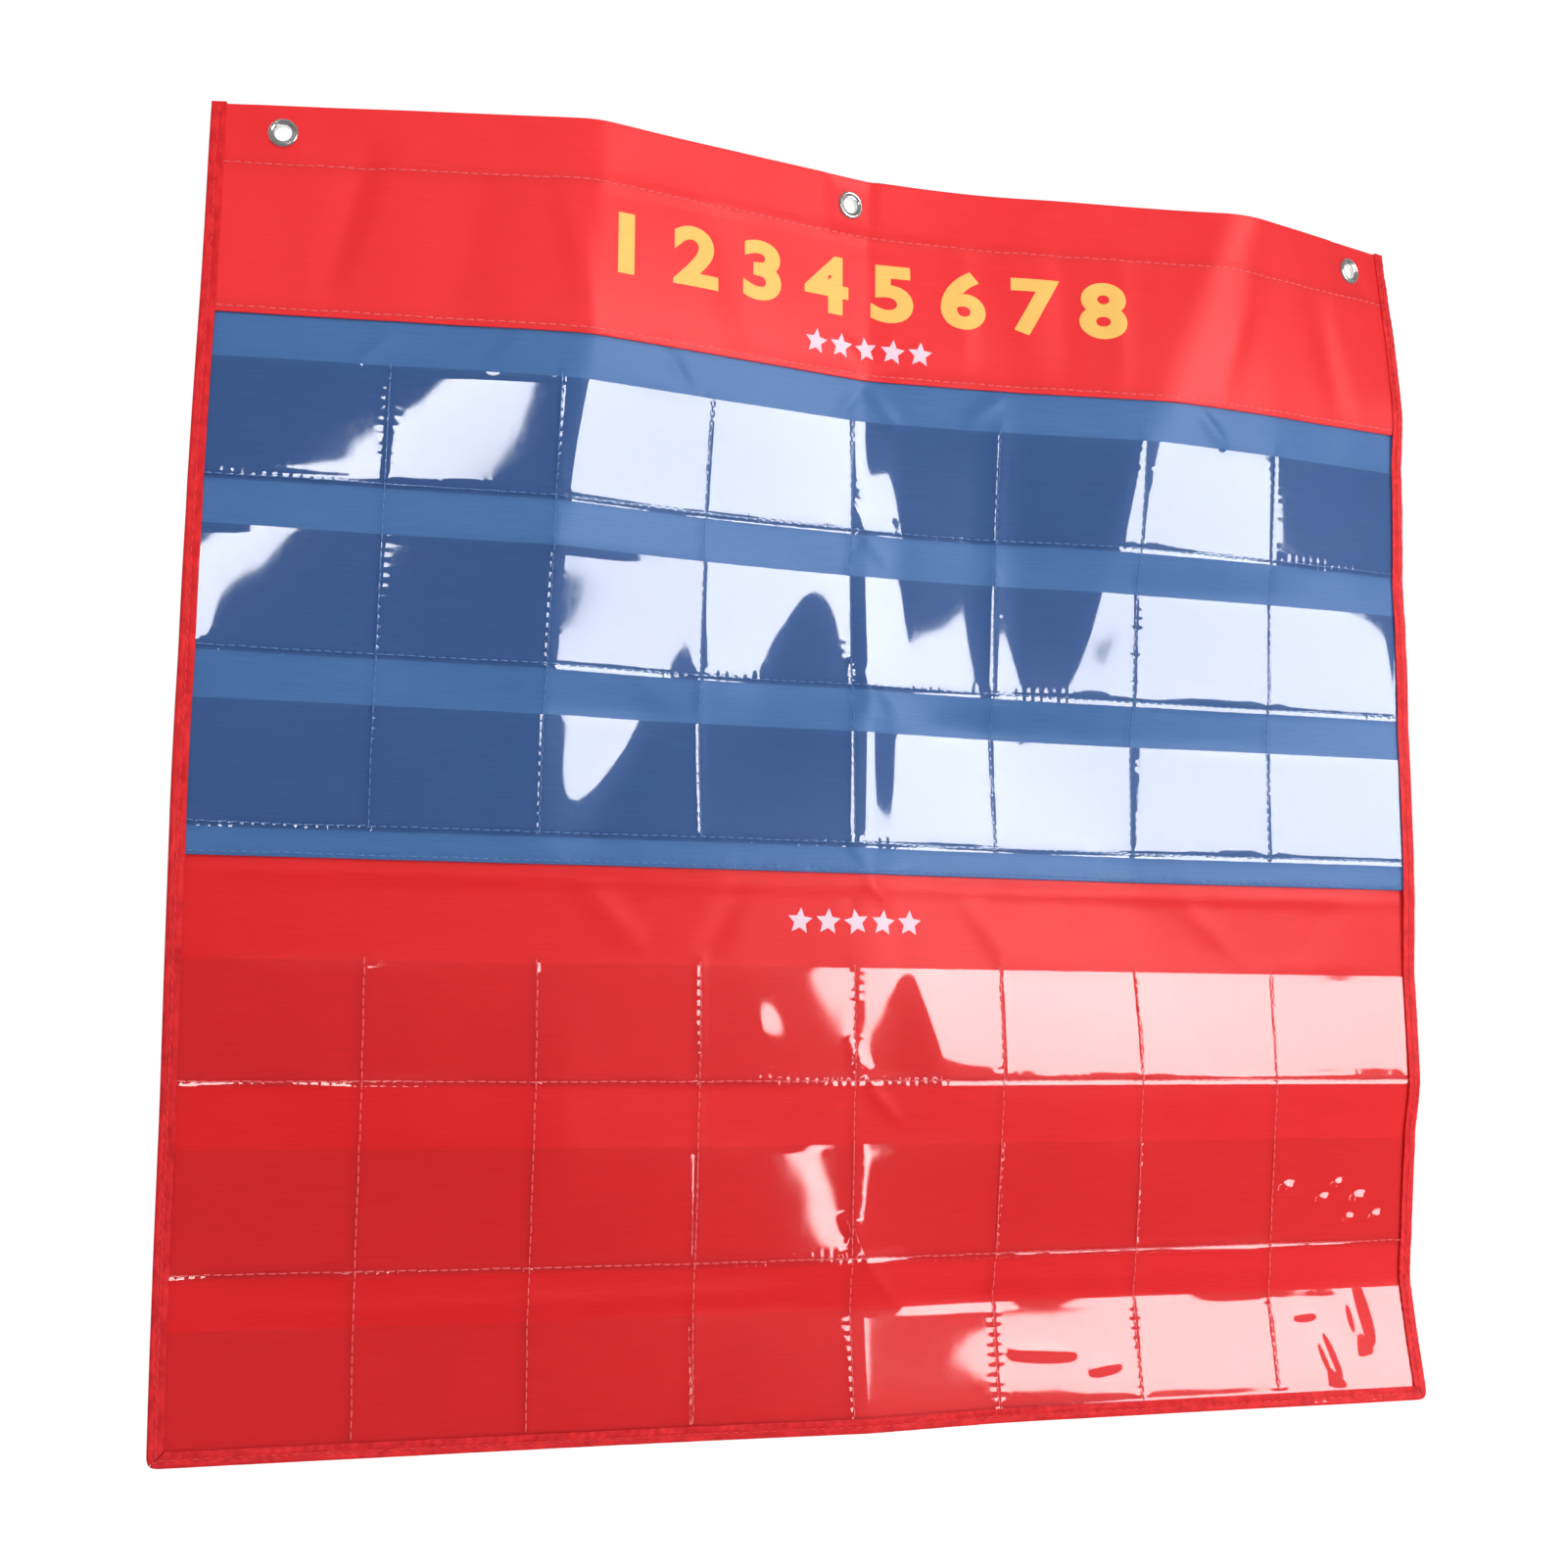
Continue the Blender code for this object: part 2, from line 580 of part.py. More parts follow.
def bottom_binding(collection, material):
    """A tape folded round the bottom edge, mitred at both ends."""
    slant = SIDE_BINDING_WIDTH / BOTTOM_BINDING_WIDTH
    tape = folded_tape(BOTTOM_BINDING_WIDTH, float(front_of_stack(CHART_HEIGHT)), 0.0)
    last = HALF_WIDTH - SIDE_BINDING_WIDTH - CORNER_REACH
    runs = [towards_mitre(last, HALF_WIDTH - slant * inset - MITRE_CLEARANCE) for inset, _ in tape]
    right_end = list(zip(*runs))
    left_end = [[-across for across in row] for row in reversed(right_end)]
    straight = [[across] * len(tape) for across in between(fold_stations(), -last, last)]
    sections = [
        [(across, -height, inset - CHART_HEIGHT) for across, (inset, height) in zip(row, tape)]
        for row in left_end + straight + right_end
    ]
    binding = lofted("bottom_binding", sections, collection, material)
    thicken(binding, TAPE_THICKNESS)
    hang(binding)


def build_bindings(collection):
    """The three tapes that close the side and bottom edges."""
    tape = red_tape()
    side_binding("left_binding", -1, collection, tape)
    side_binding("right_binding", 1, collection, tape)
    bottom_binding(collection, tape)


def thickened(path, thickness):
    """The closed outline of a path in one plane, given a thickness."""
    points = [Vector(point) for point in path]
    sides = [(end - start).orthogonal().normalized() for start, end in zip(points, points[1:])]
    sides = [sides[0]] + sides + [sides[-1]]
    left = []
    right = []
    for point, before, after in zip(points, sides, sides[1:]):
        aside = (before + after).normalized()
        reach = HALF_SHARE * thickness / aside.dot(after)
        left.append(point + reach * aside)
        right.append(point - reach * aside)
    return left + right[::-1]


def turned(name, outline, collection, material):
    """A ring turned from a closed outline of (radius, height) points."""
    form = bmesh.new()
    corners = [form.verts.new((radius, 0, height)) for radius, height in outline]
    for corner, following in zip(corners, corners[1:] + corners[:1]):
        form.edges.new((corner, following))
    mesh = bpy.data.meshes.new(name)
    form.to_mesh(mesh)
    form.free()
    ring = new_object(name, mesh, collection, material)
    screw = ring.modifiers.new("turn", "SCREW")
    screw.axis = "Z"
    screw.steps = EYELET_STEPS
    screw.render_steps = EYELET_STEPS
    screw.use_merge_vertices = True
    screw.merge_threshold = QUARTER_SHARE * EYELET_WALL
    settle(ring)
    ring.data.shade_smooth()
    ring.data.set_sharp_from_angle(angle=SHARP_ANGLE)
    return ring


def eyelet_outline():
    """The rim, the flattened crest, the barrel and the curl that the setting tool rolls over the washer."""
    middle = EYELET_HOLE_RADIUS + HALF_SHARE * EYELET_WALL
    seat = LAYER_STEP + CLOTH_THICKNESS + LAYER_GAP + HALF_SHARE * EYELET_WALL
    rim = EYELET_RIM_RADIUS - HALF_SHARE * EYELET_WALL
    crest = seat + EYELET_CREST_HEIGHT
    crest_out = rim - EYELET_CREST_INSET
    crest_in = crest_out - EYELET_CREST_WIDTH
    shoulder = HALF_SHARE * (middle + crest_in)
    below = -(2 * LAYER_GAP + WASHER_THICKNESS + HALF_SHARE * EYELET_WALL)
    curl = below - EYELET_CURL_HEIGHT
    curl_in = middle + HALF_SHARE * (EYELET_CURL_REACH - EYELET_CURL_FLAT)
    path = (
        (rim, seat),
        (HALF_SHARE * (rim + crest_out) + HALF_SHARE * EYELET_WALL, seat + HALF_SHARE * EYELET_CREST_HEIGHT),
        (crest_out, crest),
        (crest_in, crest),
        (shoulder, crest - QUARTER_SHARE * EYELET_CREST_HEIGHT),
        (middle, seat),
        (middle, below),
        (curl_in, curl),
        (curl_in + EYELET_CURL_FLAT, curl),
        (middle + EYELET_CURL_REACH, below),
    )
    return thickened(path, EYELET_WALL)


def washer_outline():
    """A flat ring with its rim eased over."""
    inner = EYELET_HOLE_RADIUS + EYELET_WALL + LAYER_GAP
    front = -LAYER_GAP
    back = front - WASHER_THICKNESS
    ease = HALF_SHARE * WASHER_THICKNESS
    return (
        (inner, front),
        (WASHER_RIM_RADIUS, front),
        (WASHER_RIM_RADIUS, back + ease),
        (WASHER_RIM_RADIUS - ease, back),
        (inner, back),
    )


def set_on_cloth(piece, place):
    """The piece moved to its eyelet's place and turned to face as the cloth does there."""
    point, facing, sideways = eyelet_frame(place)
    facing = Vector(facing)
    sideways = Vector(sideways)
    turn = Matrix((sideways, facing.cross(sideways), facing)).transposed()
    piece.location = Vector(point - hanging_point())
    piece.rotation_euler = turn.to_euler()


def build_eyelets(collection):
    """Three eyelets along the top hem, each with its washer behind."""
    metal = nickel()
    for side, place in EYELET_PLACES.items():
        set_on_cloth(turned(side + "_eyelet", eyelet_outline(), collection, metal), place)
        set_on_cloth(turned(side + "_eyelet_washer", washer_outline(), collection, metal), place)


def main():
    for old in list(bpy.data.objects):
        bpy.data.objects.remove(old)
    chart = collection_named("pocket_chart")
    cutters = collection_named("cutters")
    build_panels(chart, cutters)
    build_pocket_strips(chart)
    build_bindings(chart)
    build_eyelets(chart)
    for cutter in list(cutters.objects):
        bpy.data.objects.remove(cutter)


main()
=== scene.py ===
"""A classroom pocket chart, dressed: nylon, clear pocket strips, bound edges, seams, print and eyelets.

Every soft piece is shaped flat, at its own height in the stack of layers, and is then hung on one drape.
Flat points are (across, height above the back of the stack, distance down from the header's top edge).
"""

import logging
import math
from collections.abc import Callable, Sequence
from dataclasses import astuple, dataclass
from enum import Enum

import bmesh
import bpy
import numpy as np
from mathutils import Matrix, Vector


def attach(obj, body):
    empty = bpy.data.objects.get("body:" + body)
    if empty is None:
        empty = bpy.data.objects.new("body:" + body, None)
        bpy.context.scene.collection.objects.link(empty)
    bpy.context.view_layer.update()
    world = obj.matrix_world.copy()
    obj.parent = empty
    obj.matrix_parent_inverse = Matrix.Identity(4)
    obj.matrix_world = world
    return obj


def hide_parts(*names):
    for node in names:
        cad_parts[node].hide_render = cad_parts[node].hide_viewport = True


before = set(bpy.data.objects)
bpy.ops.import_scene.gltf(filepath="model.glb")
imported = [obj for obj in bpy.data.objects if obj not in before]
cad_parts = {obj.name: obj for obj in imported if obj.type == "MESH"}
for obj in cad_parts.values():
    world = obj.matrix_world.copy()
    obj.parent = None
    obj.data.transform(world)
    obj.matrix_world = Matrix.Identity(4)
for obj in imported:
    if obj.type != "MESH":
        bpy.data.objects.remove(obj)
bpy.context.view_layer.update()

log = logging.getLogger("pocket_chart")
Array = np.ndarray
Pair = tuple[float, float]
Triple = tuple[float, float, float]
Surface = Callable[[Array, Array], Array]
Lay = Callable[[Array, Array, Array], Array]
Form = bmesh.types.BMesh
Material = bpy.types.Material
Object = bpy.types.Object
Socket = bpy.types.NodeSocket
BODY = "root"
SHARP = math.radians(40)
MILLIMETRE = 0.001
TURN_POINTS = 8


class Panel(Enum):
    """The two cloth panels that carry pockets."""

    UPPER = "upper"
    LOWER = "lower"


class Edge(Enum):
    """The two sides of the chart, as the sign of their place across it."""

    LEFT = -1
    RIGHT = 1


@dataclass(frozen=True)
class ChartSizes:
    """Sizes of the chart laid flat, in metres. Drops and heights are read downwards."""

    cloth: float = 0.0003
    vinyl: float = 0.00025
    tape: float = 0.0004
    gap: float = 0.0003
    columns: int = 8
    pocket_width: float = 0.0834
    end_extra: float = 0.0014
    upper_depth: float = 0.0582
    lower_depth: float = 0.0574
    last_depth: float = 0.0530
    seam_margin: float = 0.0025
    top_hem: float = 0.0340
    header: float = 0.1096
    upper_drop: float = 0.0222
    upper_gap: float = 0.0248
    upper_margin: float = 0.0160
    lower_drop: float = 0.0485
    lower_gap: float = 0.0322
    last_gap: float = 0.0259
    hem: float = 0.0095
    overlap: float = 0.0110
    side_binding: float = 0.0076
    bottom_binding: float = 0.0074
    binding_fold: float = 0.0010
    binding_reach: float = 0.0008
    mitre_clearance: float = 0.00035
    corner_pull: float = 0.0012
    corner_reach: float = 0.0060
    left_eyelet_inset: float = 0.0356
    right_eyelet_inset: float = 0.0316
    centre_eyelet_offset: float = -0.0026
    eyelet_drop: float = 0.0150

    @property
    def half_width(self) -> float:
        """Half of the chart's width over its bindings."""
        return 0.5 * self.columns * self.pocket_width + self.end_extra + self.side_binding

    @property
    def step(self) -> float:
        """From one cloth layer to the next."""
        return self.cloth + self.gap

    @property
    def vinyl_step(self) -> float:
        """From the front of a cloth to the front of the clear strip on it."""
        return self.gap + self.vinyl

    @property
    def layer_edge(self) -> float:
        """Half of the panels' width: they end inside the bindings' folds."""
        return self.half_width - (0.5 * self.tape + self.binding_fold + self.gap)

    @property
    def upper_top(self) -> float:
        """The upper panel's hidden top edge."""
        return self.header - self.overlap

    @property
    def upper_rows(self) -> tuple[float, ...]:
        """Mouths of the three upper strips."""
        pitch = self.upper_depth + self.upper_gap
        return tuple(self.header + self.upper_drop + pitch * row for row in range(3))

    @property
    def upper_seam(self) -> float:
        """The bottom seam of the third strip."""
        return self.upper_rows[-1] + self.upper_depth

    @property
    def upper_end(self) -> float:
        """The upper panel's hemmed bottom edge."""
        return self.upper_seam + self.upper_margin

    @property
    def lower_rows(self) -> tuple[float, ...]:
        """Mouths of the three lower strips.

        Returns:
            Their distances down the chart.
        """
        first = self.upper_end + self.lower_drop
        second = first + self.lower_depth + self.lower_gap
        return first, second, second + self.lower_depth + self.last_gap

    def rows(self, panel: Panel) -> tuple[float, ...]:
        """Mouths of a panel's three strips."""
        return self.upper_rows if panel is Panel.UPPER else self.lower_rows

    def pocket_depth(self, panel: Panel) -> float:
        """From a strip's mouth to its bottom seam, on all but the last strip."""
        return self.upper_depth if panel is Panel.UPPER else self.lower_depth

    def feet(self, panel: Panel) -> tuple[float, ...]:
        """Lines along which the feet of a panel's three strips are held.

        Args:
            panel: Which panel.

        Returns:
            Their distances down the chart. The last lower foot is held by the binding.
        """
        feet = tuple(mouth + self.pocket_depth(panel) for mouth in self.rows(panel))
        return feet if panel is Panel.UPPER else (*feet[:2], self.binding_top)

    @property
    def binding_top(self) -> float:
        """The upper edge of the bottom binding."""
        return self.lower_rows[-1] + self.last_depth

    @property
    def height(self) -> float:
        """The whole chart's height."""
        return self.binding_top + self.bottom_binding

    @property
    def layer_end(self) -> float:
        """Where the lower panel and the last strip end, inside the bottom binding's fold."""
        return self.height - (0.5 * self.tape + self.binding_fold + self.gap)

    @property
    def seams(self) -> tuple[float, ...]:
        """Places of the seven upright seams."""
        return tuple((column - 0.5 * self.columns) * self.pocket_width for column in range(1, self.columns))

    @property
    def pocket_edges(self) -> tuple[float, ...]:
        """Places of the pockets' edges: the bindings and the seams between them."""
        end = self.half_width - self.side_binding
        return (-end, *self.seams, end)

    @property
    def eyelets(self) -> dict[str, float]:
        """Places of the three eyelets."""
        left, right = self.left_eyelet_inset - self.half_width, self.half_width - self.right_eyelet_inset
        return {"left": left, "centre": self.centre_eyelet_offset, "right": right}

    def header_back(self, down: Array) -> Array:
        """The back of the header's front layer, over its hems."""
        return np.interp(down, (0.0, self.top_hem, self.upper_top), (self.step, self.step, 2 * self.step))

    def upper_back(self, down: Array) -> Array:
        """The back of the upper panel, raised where it laps the lower one."""
        return np.interp(down, (self.header, self.upper_seam), (0.0, 2 * self.step))

    def panel_back(self, panel: Panel, down: Array) -> Array:
        """The back of a panel that carries pockets."""
        return self.upper_back(down) if panel is Panel.UPPER else np.zeros_like(down)

    def stack_front(self, down: Array) -> Array:
        """The front of all layers that a side binding holds.

        Args:
            down: Distances down.

        Returns:
            One height for each distance.
        """
        hem_front = 2 * self.step + self.cloth
        sheet_front = self.cloth + self.vinyl_step
        first = self.upper_rows[0]
        stations = (
            (0.0, self.step + self.cloth),
            (self.top_hem, self.step + self.cloth),
            (self.upper_top, hem_front),
            (self.header, hem_front),
            (first, sheet_front + float(self.upper_back(first))),
            (self.upper_end - self.overlap, hem_front + self.vinyl_step),
            (self.upper_end, hem_front + self.vinyl_step),
            (self.lower_rows[0], sheet_front),
            (self.height, sheet_front),
        )
        places, heights = zip(*stations)
        return np.interp(down, places, heights)


@dataclass(frozen=True)
class Fold:
    """One upright line along which the hung cloth bends.

    The shares are of the deepest fold, one for each level, away from the viewer where positive.
    The place is the same all the way down, or is given for each level.
    """

    place: float | tuple[float, ...]
    rounding: float
    shares: tuple[float, ...]


@dataclass(frozen=True)
class Wrinkle:
    """A short soft ridge in the cloth, towards the viewer where its height is positive."""

    start: Pair
    end: Pair
    width: float
    height: float

    def depth(self, across: Array, down: Array) -> Array:
        """How far the wrinkle pushes the cloth away from the viewer.

        Args:
            across: Places across.
            down: Distances down.

        Returns:
            One depth for each place.
        """
        run = (self.end[0] - self.start[0], self.end[1] - self.start[1])
        length = math.hypot(*run)
        from_start = (across - self.start[0], down - self.start[1])
        along = (from_start[0] * run[0] + from_start[1] * run[1]) / length**2
        aside = (from_start[0] * run[1] - from_start[1] * run[0]) / length
        swell = np.clip(4 * along * (1 - along), 0, 1)
        return -self.height * swell * np.exp(-((aside / self.width) ** 2))


class Ripple:
    """Smooth uneven waves that come out the same on every run."""

    def __init__(self, seed: int, cells: int = 64) -> None:
        """Draws the heights of the lattice.

        Args:
            seed: Which of the possible ripples this is.
            cells: Size of the lattice before it repeats.
        """
        self.cells = cells
        self.heights = np.random.default_rng(seed).uniform(-1.0, 1.0, (cells, cells))

    def over(self, across: Array, down: Array, size: Pair, start: Pair = (0, 0)) -> Array:
        """Heights over the cloth, in waves of a size, from a start on the lattice."""
        return self.at(across / size[0] + start[0], down / size[1] + start[1])

    def at(self, x: Array, y: Array) -> Array:
        """Heights at places counted in waves.

        Args:
            x: Waves to the right.
            y: Waves down.

        Returns:
            Heights between -1 and 1.
        """
        left, top = np.floor(x).astype(int), np.floor(y).astype(int)
        u, v = x - left, y - top
        u, v = u**3 * (u * (6 * u - 15) + 10), v**3 * (v * (6 * v - 15) + 10)
        a, b = left % self.cells, (left + 1) % self.cells
        c, d = top % self.cells, (top + 1) % self.cells
        over = self.heights[a, c] * (1 - u) + self.heights[b, c] * u
        under = self.heights[a, d] * (1 - u) + self.heights[b, d] * u
        return over * (1 - v) + under * v


class Relief:
    """How the rows of stitches make the cloth stand out of its folds, pocket by pocket.

    Each row of pockets has two lines of depths in millimetres, away from the viewer where positive:
    at its mouth and at its foot. Each line runs over the nine edges of its pockets from left to right.
    """

    flat = (0.0,) * 9

    upper = (
        ((0, 0, 0, 0, 0, -4.0, 0, 0, 4.0), (0, 0, 0, 0, 0, -6.0, 0, 0, 6.0)),
        ((-3.5, 0, -2.0, -2.5, 2.5, -6.0, 2.0, 1.0, 5.5), (-3.5, 0, -2.0, -2.5, 2.5, -6.0, -2.0, -1.0, 4.0)),
        ((0, 0, 0, 0, 0, 0, 0, 0, 3.0), (0, 0, 0, 0, 0, 0, 0, 0, 2.0)),
    )
    lower = (
        ((0, 0, 0, 0, 0, 0.5, 1.0, 1.5, 2.5), (0, 0, 0, 0, -1.5, -1.0, -1.5, -2.0, -3.0)),
        (flat, flat),
        ((0, 0.5, 1.0, 2.0, 3.0, 3.0, 3.0, 2.5, 2.0), (0, -0.5, -1.0, -2.0, -3.0, -3.0, -3.0, -2.5, -2.0)),
    )
    fade = 0.040
    seam_rounding = 0.0030

    def __init__(self, sizes: ChartSizes) -> None:
        """Sets the levels that the lines of depths belong to.

        Args:
            sizes: The flat chart's sizes.
        """
        self.places = np.array(sizes.pocket_edges)
        levels, lines, held = [sizes.upper_rows[0] - self.fade], [self.flat], []
        for panel, pairs in ((Panel.UPPER, self.upper), (Panel.LOWER, self.lower)):
            for mouth, foot, pair in zip(sizes.rows(panel), sizes.feet(panel), pairs):
                levels += [mouth, foot]
                lines += list(pair)
                held += [False, True]
        self.levels = np.array([*levels, sizes.height + self.fade])
        self.lines = MILLIMETRE * np.array([*lines, self.flat])
        self.straight = np.array([*held, False])

    def depth(self, across: Array, down: Array) -> Array:
        """How far the relief takes the cloth away from the viewer.

        Args:
            across: Places across.
            down: Distances down.

        Returns:
            One depth for each place.
        """
        index = np.clip(np.searchsorted(self.levels, down, side="right") - 1, 0, len(self.levels) - 2)
        part = np.clip((down - self.levels[index]) / (self.levels[index + 1] - self.levels[index]), 0, 1)
        part = np.where(self.straight[index], part, part**2 * (3 - 2 * part))[:, None]
        depths = self.lines[index] * (1 - part) + self.lines[index + 1] * part
        rows = np.arange(len(across))
        column = np.clip(np.searchsorted(self.places, across, side="right") - 1, 0, len(self.places) - 2)
        slopes = np.diff(depths, axis=1) / np.diff(self.places)
        inside = np.clip(across, self.places[0], self.places[-1])
        depth = depths[rows, column] + slopes[rows, column] * (inside - self.places[column])
        for number in range(1, len(self.places) - 1):
            near = np.clip(self.seam_rounding - np.abs(across - self.places[number]), 0, None)
            depth = depth + (slopes[:, number] - slopes[:, number - 1]) * near**2 / (4 * self.seam_rounding)
        return depth


class Drape:
    """The surface that the whole chart hangs on: packing folds, wrinkles and flat seats for eyelets."""

    deepest = 0.0270
    crease = 0.0080
    crease_rays = (
        ((-0.002, 0.001), (0.8, 1.0), 0.0032, 1.0),
        ((0.001, 0.002), (-0.7, 0.8), 0.0030, -1.0),
        ((0.0, -0.002), (-0.55, -0.9), 0.0028, 0.7),
        ((0.003, -0.001), (0.9, -0.35), 0.0030, -0.5),
    )
    levels = np.array((0.0, 0.17, 0.29, 0.435, 0.565, 0.735, 0.90, 1.0))
    slope_step = 0.0003
    seat = 0.0087
    seat_fade = 0.0080
    sways = ((0.00100, (0.058, 0.080), (0, 0)), (0.00014, (0.019, 0.024), (20, 30)))
    held_share = 0.88
    soft_end = 0.008
    plan_margin = 0.004
    plan_steps = (695, 222)
    steepest = 0.9

    def __init__(self, sizes: ChartSizes) -> None:
        """Sets the folds and works out how far they draw the cloth in.

        Args:
            sizes: The flat chart's sizes.
        """
        self.sizes = sizes
        half = sizes.half_width
        edges = sizes.pocket_edges
        left_ridge = (-0.153, -0.158, -0.164, -0.167, -0.160, -0.155, -0.155, -0.155)
        right_ridge = (0.226, 0.180, 0.158, 0.138, 0.160, 0.200, 0.226, 0.226)
        self.folds = (
            Fold(-half, 0.010, (0.85, 0.25, 0.05, -0.04, 0.05, 0.22, 0.20, 0.00)),
            Fold(left_ridge, 0.008, (-0.92, -0.90, -0.62, -0.20, -0.12, -0.34, -0.10, -0.08)),
            Fold(edges[3], 0.040, (-0.32, -0.37, 0.03, 0.26, -0.15, -0.30, -0.15, -0.10)),
            Fold(self.crease, 0.0032, (0.38, 0.33, 0.30, 0.04, -0.07, -0.18, -0.15, -0.26)),
            Fold(0.0270, 0.0060, (0.345, 0.285, 0.425, 0.235, 0.065, -0.18, -0.07, -0.18)),
            Fold(edges[5], 0.018, (0.24, 0.15, 0.50, 0.52, 0.22, -0.18, 0.16, 0.05)),
            Fold(right_ridge, 0.014, (-0.66, -0.56, -0.20, 0.42, 0.40, 0.04, 0.28, 0.05)),
            Fold(half, 0.010, (0.70, 0.20, 0.10, 0.10, 0.07, 0.15, 0.37, 0.00)),
        )
        self.relief = Relief(sizes)
        self.wrinkles = self.crease_wrinkles() + self.loose_wrinkles()
        self.sway = Ripple(3)
        self.places = np.array([np.broadcast_to(fold.place, len(self.levels)) for fold in self.folds]).T
        self.depths = self.deepest * np.array([fold.shares for fold in self.folds]).T
        self.lay_out_plan()
        self.origin = np.zeros(3)
        point, facing, _ = self.eyelet_frame(sizes.eyelets["centre"])
        self.origin = point + 0.5 * (sizes.step + sizes.cloth) * facing

    def crease_wrinkles(self) -> list[Wrinkle]:
        """Diagonals where the sharp middle crease meets a hem or a row of stitches.

        Returns:
            Four wrinkles from each such place.
        """
        sizes = self.sizes
        made = []
        knots = (
            (SeamPlan.hem_drop, 0.016, 0.00035),
            (sizes.header, 0.026, 0.00085),
            (sizes.upper_rows[0] + sizes.upper_depth, 0.020, 0.00055),
            (sizes.upper_rows[1] + sizes.upper_depth, 0.017, 0.00045),
            (sizes.upper_end, 0.022, 0.00065),
            (sizes.lower_rows[0] + sizes.lower_depth, 0.024, 0.00070),
            (sizes.lower_rows[1] + sizes.lower_depth, 0.026, 0.00080),
        )
        for down, reach, height in knots:
            for (aside, below), (over, under), width, share in self.crease_rays:
                start = (self.crease + aside, down + below)
                end = (self.crease + over * reach, down + under * reach)
                made.append(Wrinkle(start, end, width, share * height))
        return made

    def loose_wrinkles(self) -> list[Wrinkle]:
        """Long soft wrinkles in the open cloth.

        Returns:
            Those across rows of pockets, above the last mouth, in the header, and above and below the blue.
        """
        mouth = self.sizes.lower_rows[2]
        second, third = self.sizes.upper_rows[1:]
        fourth = self.sizes.lower_rows[0]
        over, under = 0.012, self.sizes.upper_depth + 0.014
        return [
            Wrinkle((-0.022, second - over), (-0.050, second + under), 0.0180, -0.0012),
            Wrinkle((-0.104, third - over), (-0.152, third + under), 0.0220, -0.0026),
            Wrinkle((0.030, fourth - over), (0.058, fourth + under), 0.0160, 0.0013),
            Wrinkle((-0.33, mouth - 0.0065), (0.02, mouth - 0.0115), 0.0045, 0.0011),
            Wrinkle((0.00, mouth - 0.0120), (0.33, mouth - 0.0100), 0.0045, 0.0009),
            Wrinkle((-0.172, 0.024), (-0.150, 0.114), 0.0070, 0.0014),
            Wrinkle((0.060, 0.020), (0.064, 0.100), 0.0070, 0.0008),
            Wrinkle((0.118, 0.016), (0.124, 0.100), 0.0080, -0.0010),
            Wrinkle((0.152, 0.016), (0.150, 0.110), 0.0070, 0.0009),
            Wrinkle((-0.268, 0.131), (-0.244, 0.111), 0.0036, 0.0012),
            Wrinkle((-0.205, 0.131), (-0.184, 0.111), 0.0034, 0.0014),
            Wrinkle((-0.112, 0.111), (-0.096, 0.131), 0.0040, -0.0010),
            Wrinkle((0.062, 0.131), (0.086, 0.111), 0.0038, 0.0012),
            Wrinkle((0.196, 0.111), (0.218, 0.131), 0.0036, 0.0012),
            Wrinkle((-0.36, 0.3785), (0.03, 0.3785), 0.0040, 0.0010),
            Wrinkle((-0.03, 0.3785), (0.36, 0.3785), 0.0040, 0.0010),
            Wrinkle((-0.262, 0.014), (-0.286, 0.104), 0.0080, -0.0020),
            Wrinkle((-0.205, 0.030), (-0.228, 0.116), 0.0140, -0.0018),
            Wrinkle((-0.085, 0.026), (-0.062, 0.114), 0.0120, -0.0011),
            Wrinkle((0.092, 0.024), (0.108, 0.114), 0.0120, 0.0010),
            Wrinkle((0.236, 0.020), (0.208, 0.114), 0.0080, 0.0011),
            Wrinkle((0.282, 0.030), (0.298, 0.114), 0.0090, -0.0010),
            Wrinkle((-0.150, 0.376), (-0.110, 0.416), 0.0070, 0.0008),
            Wrinkle((-0.060, 0.378), (-0.084, 0.418), 0.0060, -0.0006),
            Wrinkle((0.060, 0.378), (0.092, 0.418), 0.0060, 0.0007),
            Wrinkle((0.190, 0.378), (0.232, 0.412), 0.0070, 0.0006),
            Wrinkle((0.290, 0.376), (0.268, 0.416), 0.0060, -0.0005),
        ]

    def folded(self, across: Array, down: Array) -> Array:
        """The packing folds alone.

        Args:
            across: Places across.
            down: Distances down.

        Returns:
            How far each point stands away from the viewer.
        """
        places, depths = self.at_level(self.places, down), self.at_level(self.depths, down)
        slopes = np.diff(depths, axis=1) / np.diff(places, axis=1)
        column = (across[:, None] >= places[:, 1:-1]).sum(axis=1)
        rows = np.arange(len(across))
        depth = depths[rows, column] + slopes[rows, column] * (across - places[rows, column])
        for number in range(1, len(self.folds) - 1):
            reach = self.folds[number].rounding
            inside = np.clip(reach - np.abs(across - places[:, number]), 0, None)
            depth = depth + (slopes[:, number] - slopes[:, number - 1]) * inside**2 / (4 * reach)
        return depth

    def at_level(self, table: Array, down: Array) -> Array:
        """A table read smoothly at distances down the chart.

        Args:
            table: One row for each level.
            down: The distances.

        Returns:
            One row for each distance.
        """
        level = np.clip(down / self.sizes.height, 0, 1)
        index = np.clip(np.searchsorted(self.levels, level, side="right") - 1, 0, len(self.levels) - 2)
        span = self.levels[index + 1] - self.levels[index]
        part = ((level - self.levels[index]) / span)[:, None]
        rises = np.gradient(table, self.levels, axis=0)
        rise = 3 * part**2 - 2 * part**3
        steady = table[index] * (1 - rise) + table[index + 1] * rise
        drift = rises[index] * (part - 2 * part**2 + part**3) + rises[index + 1] * (part**3 - part**2)
        return steady + span[:, None] * drift

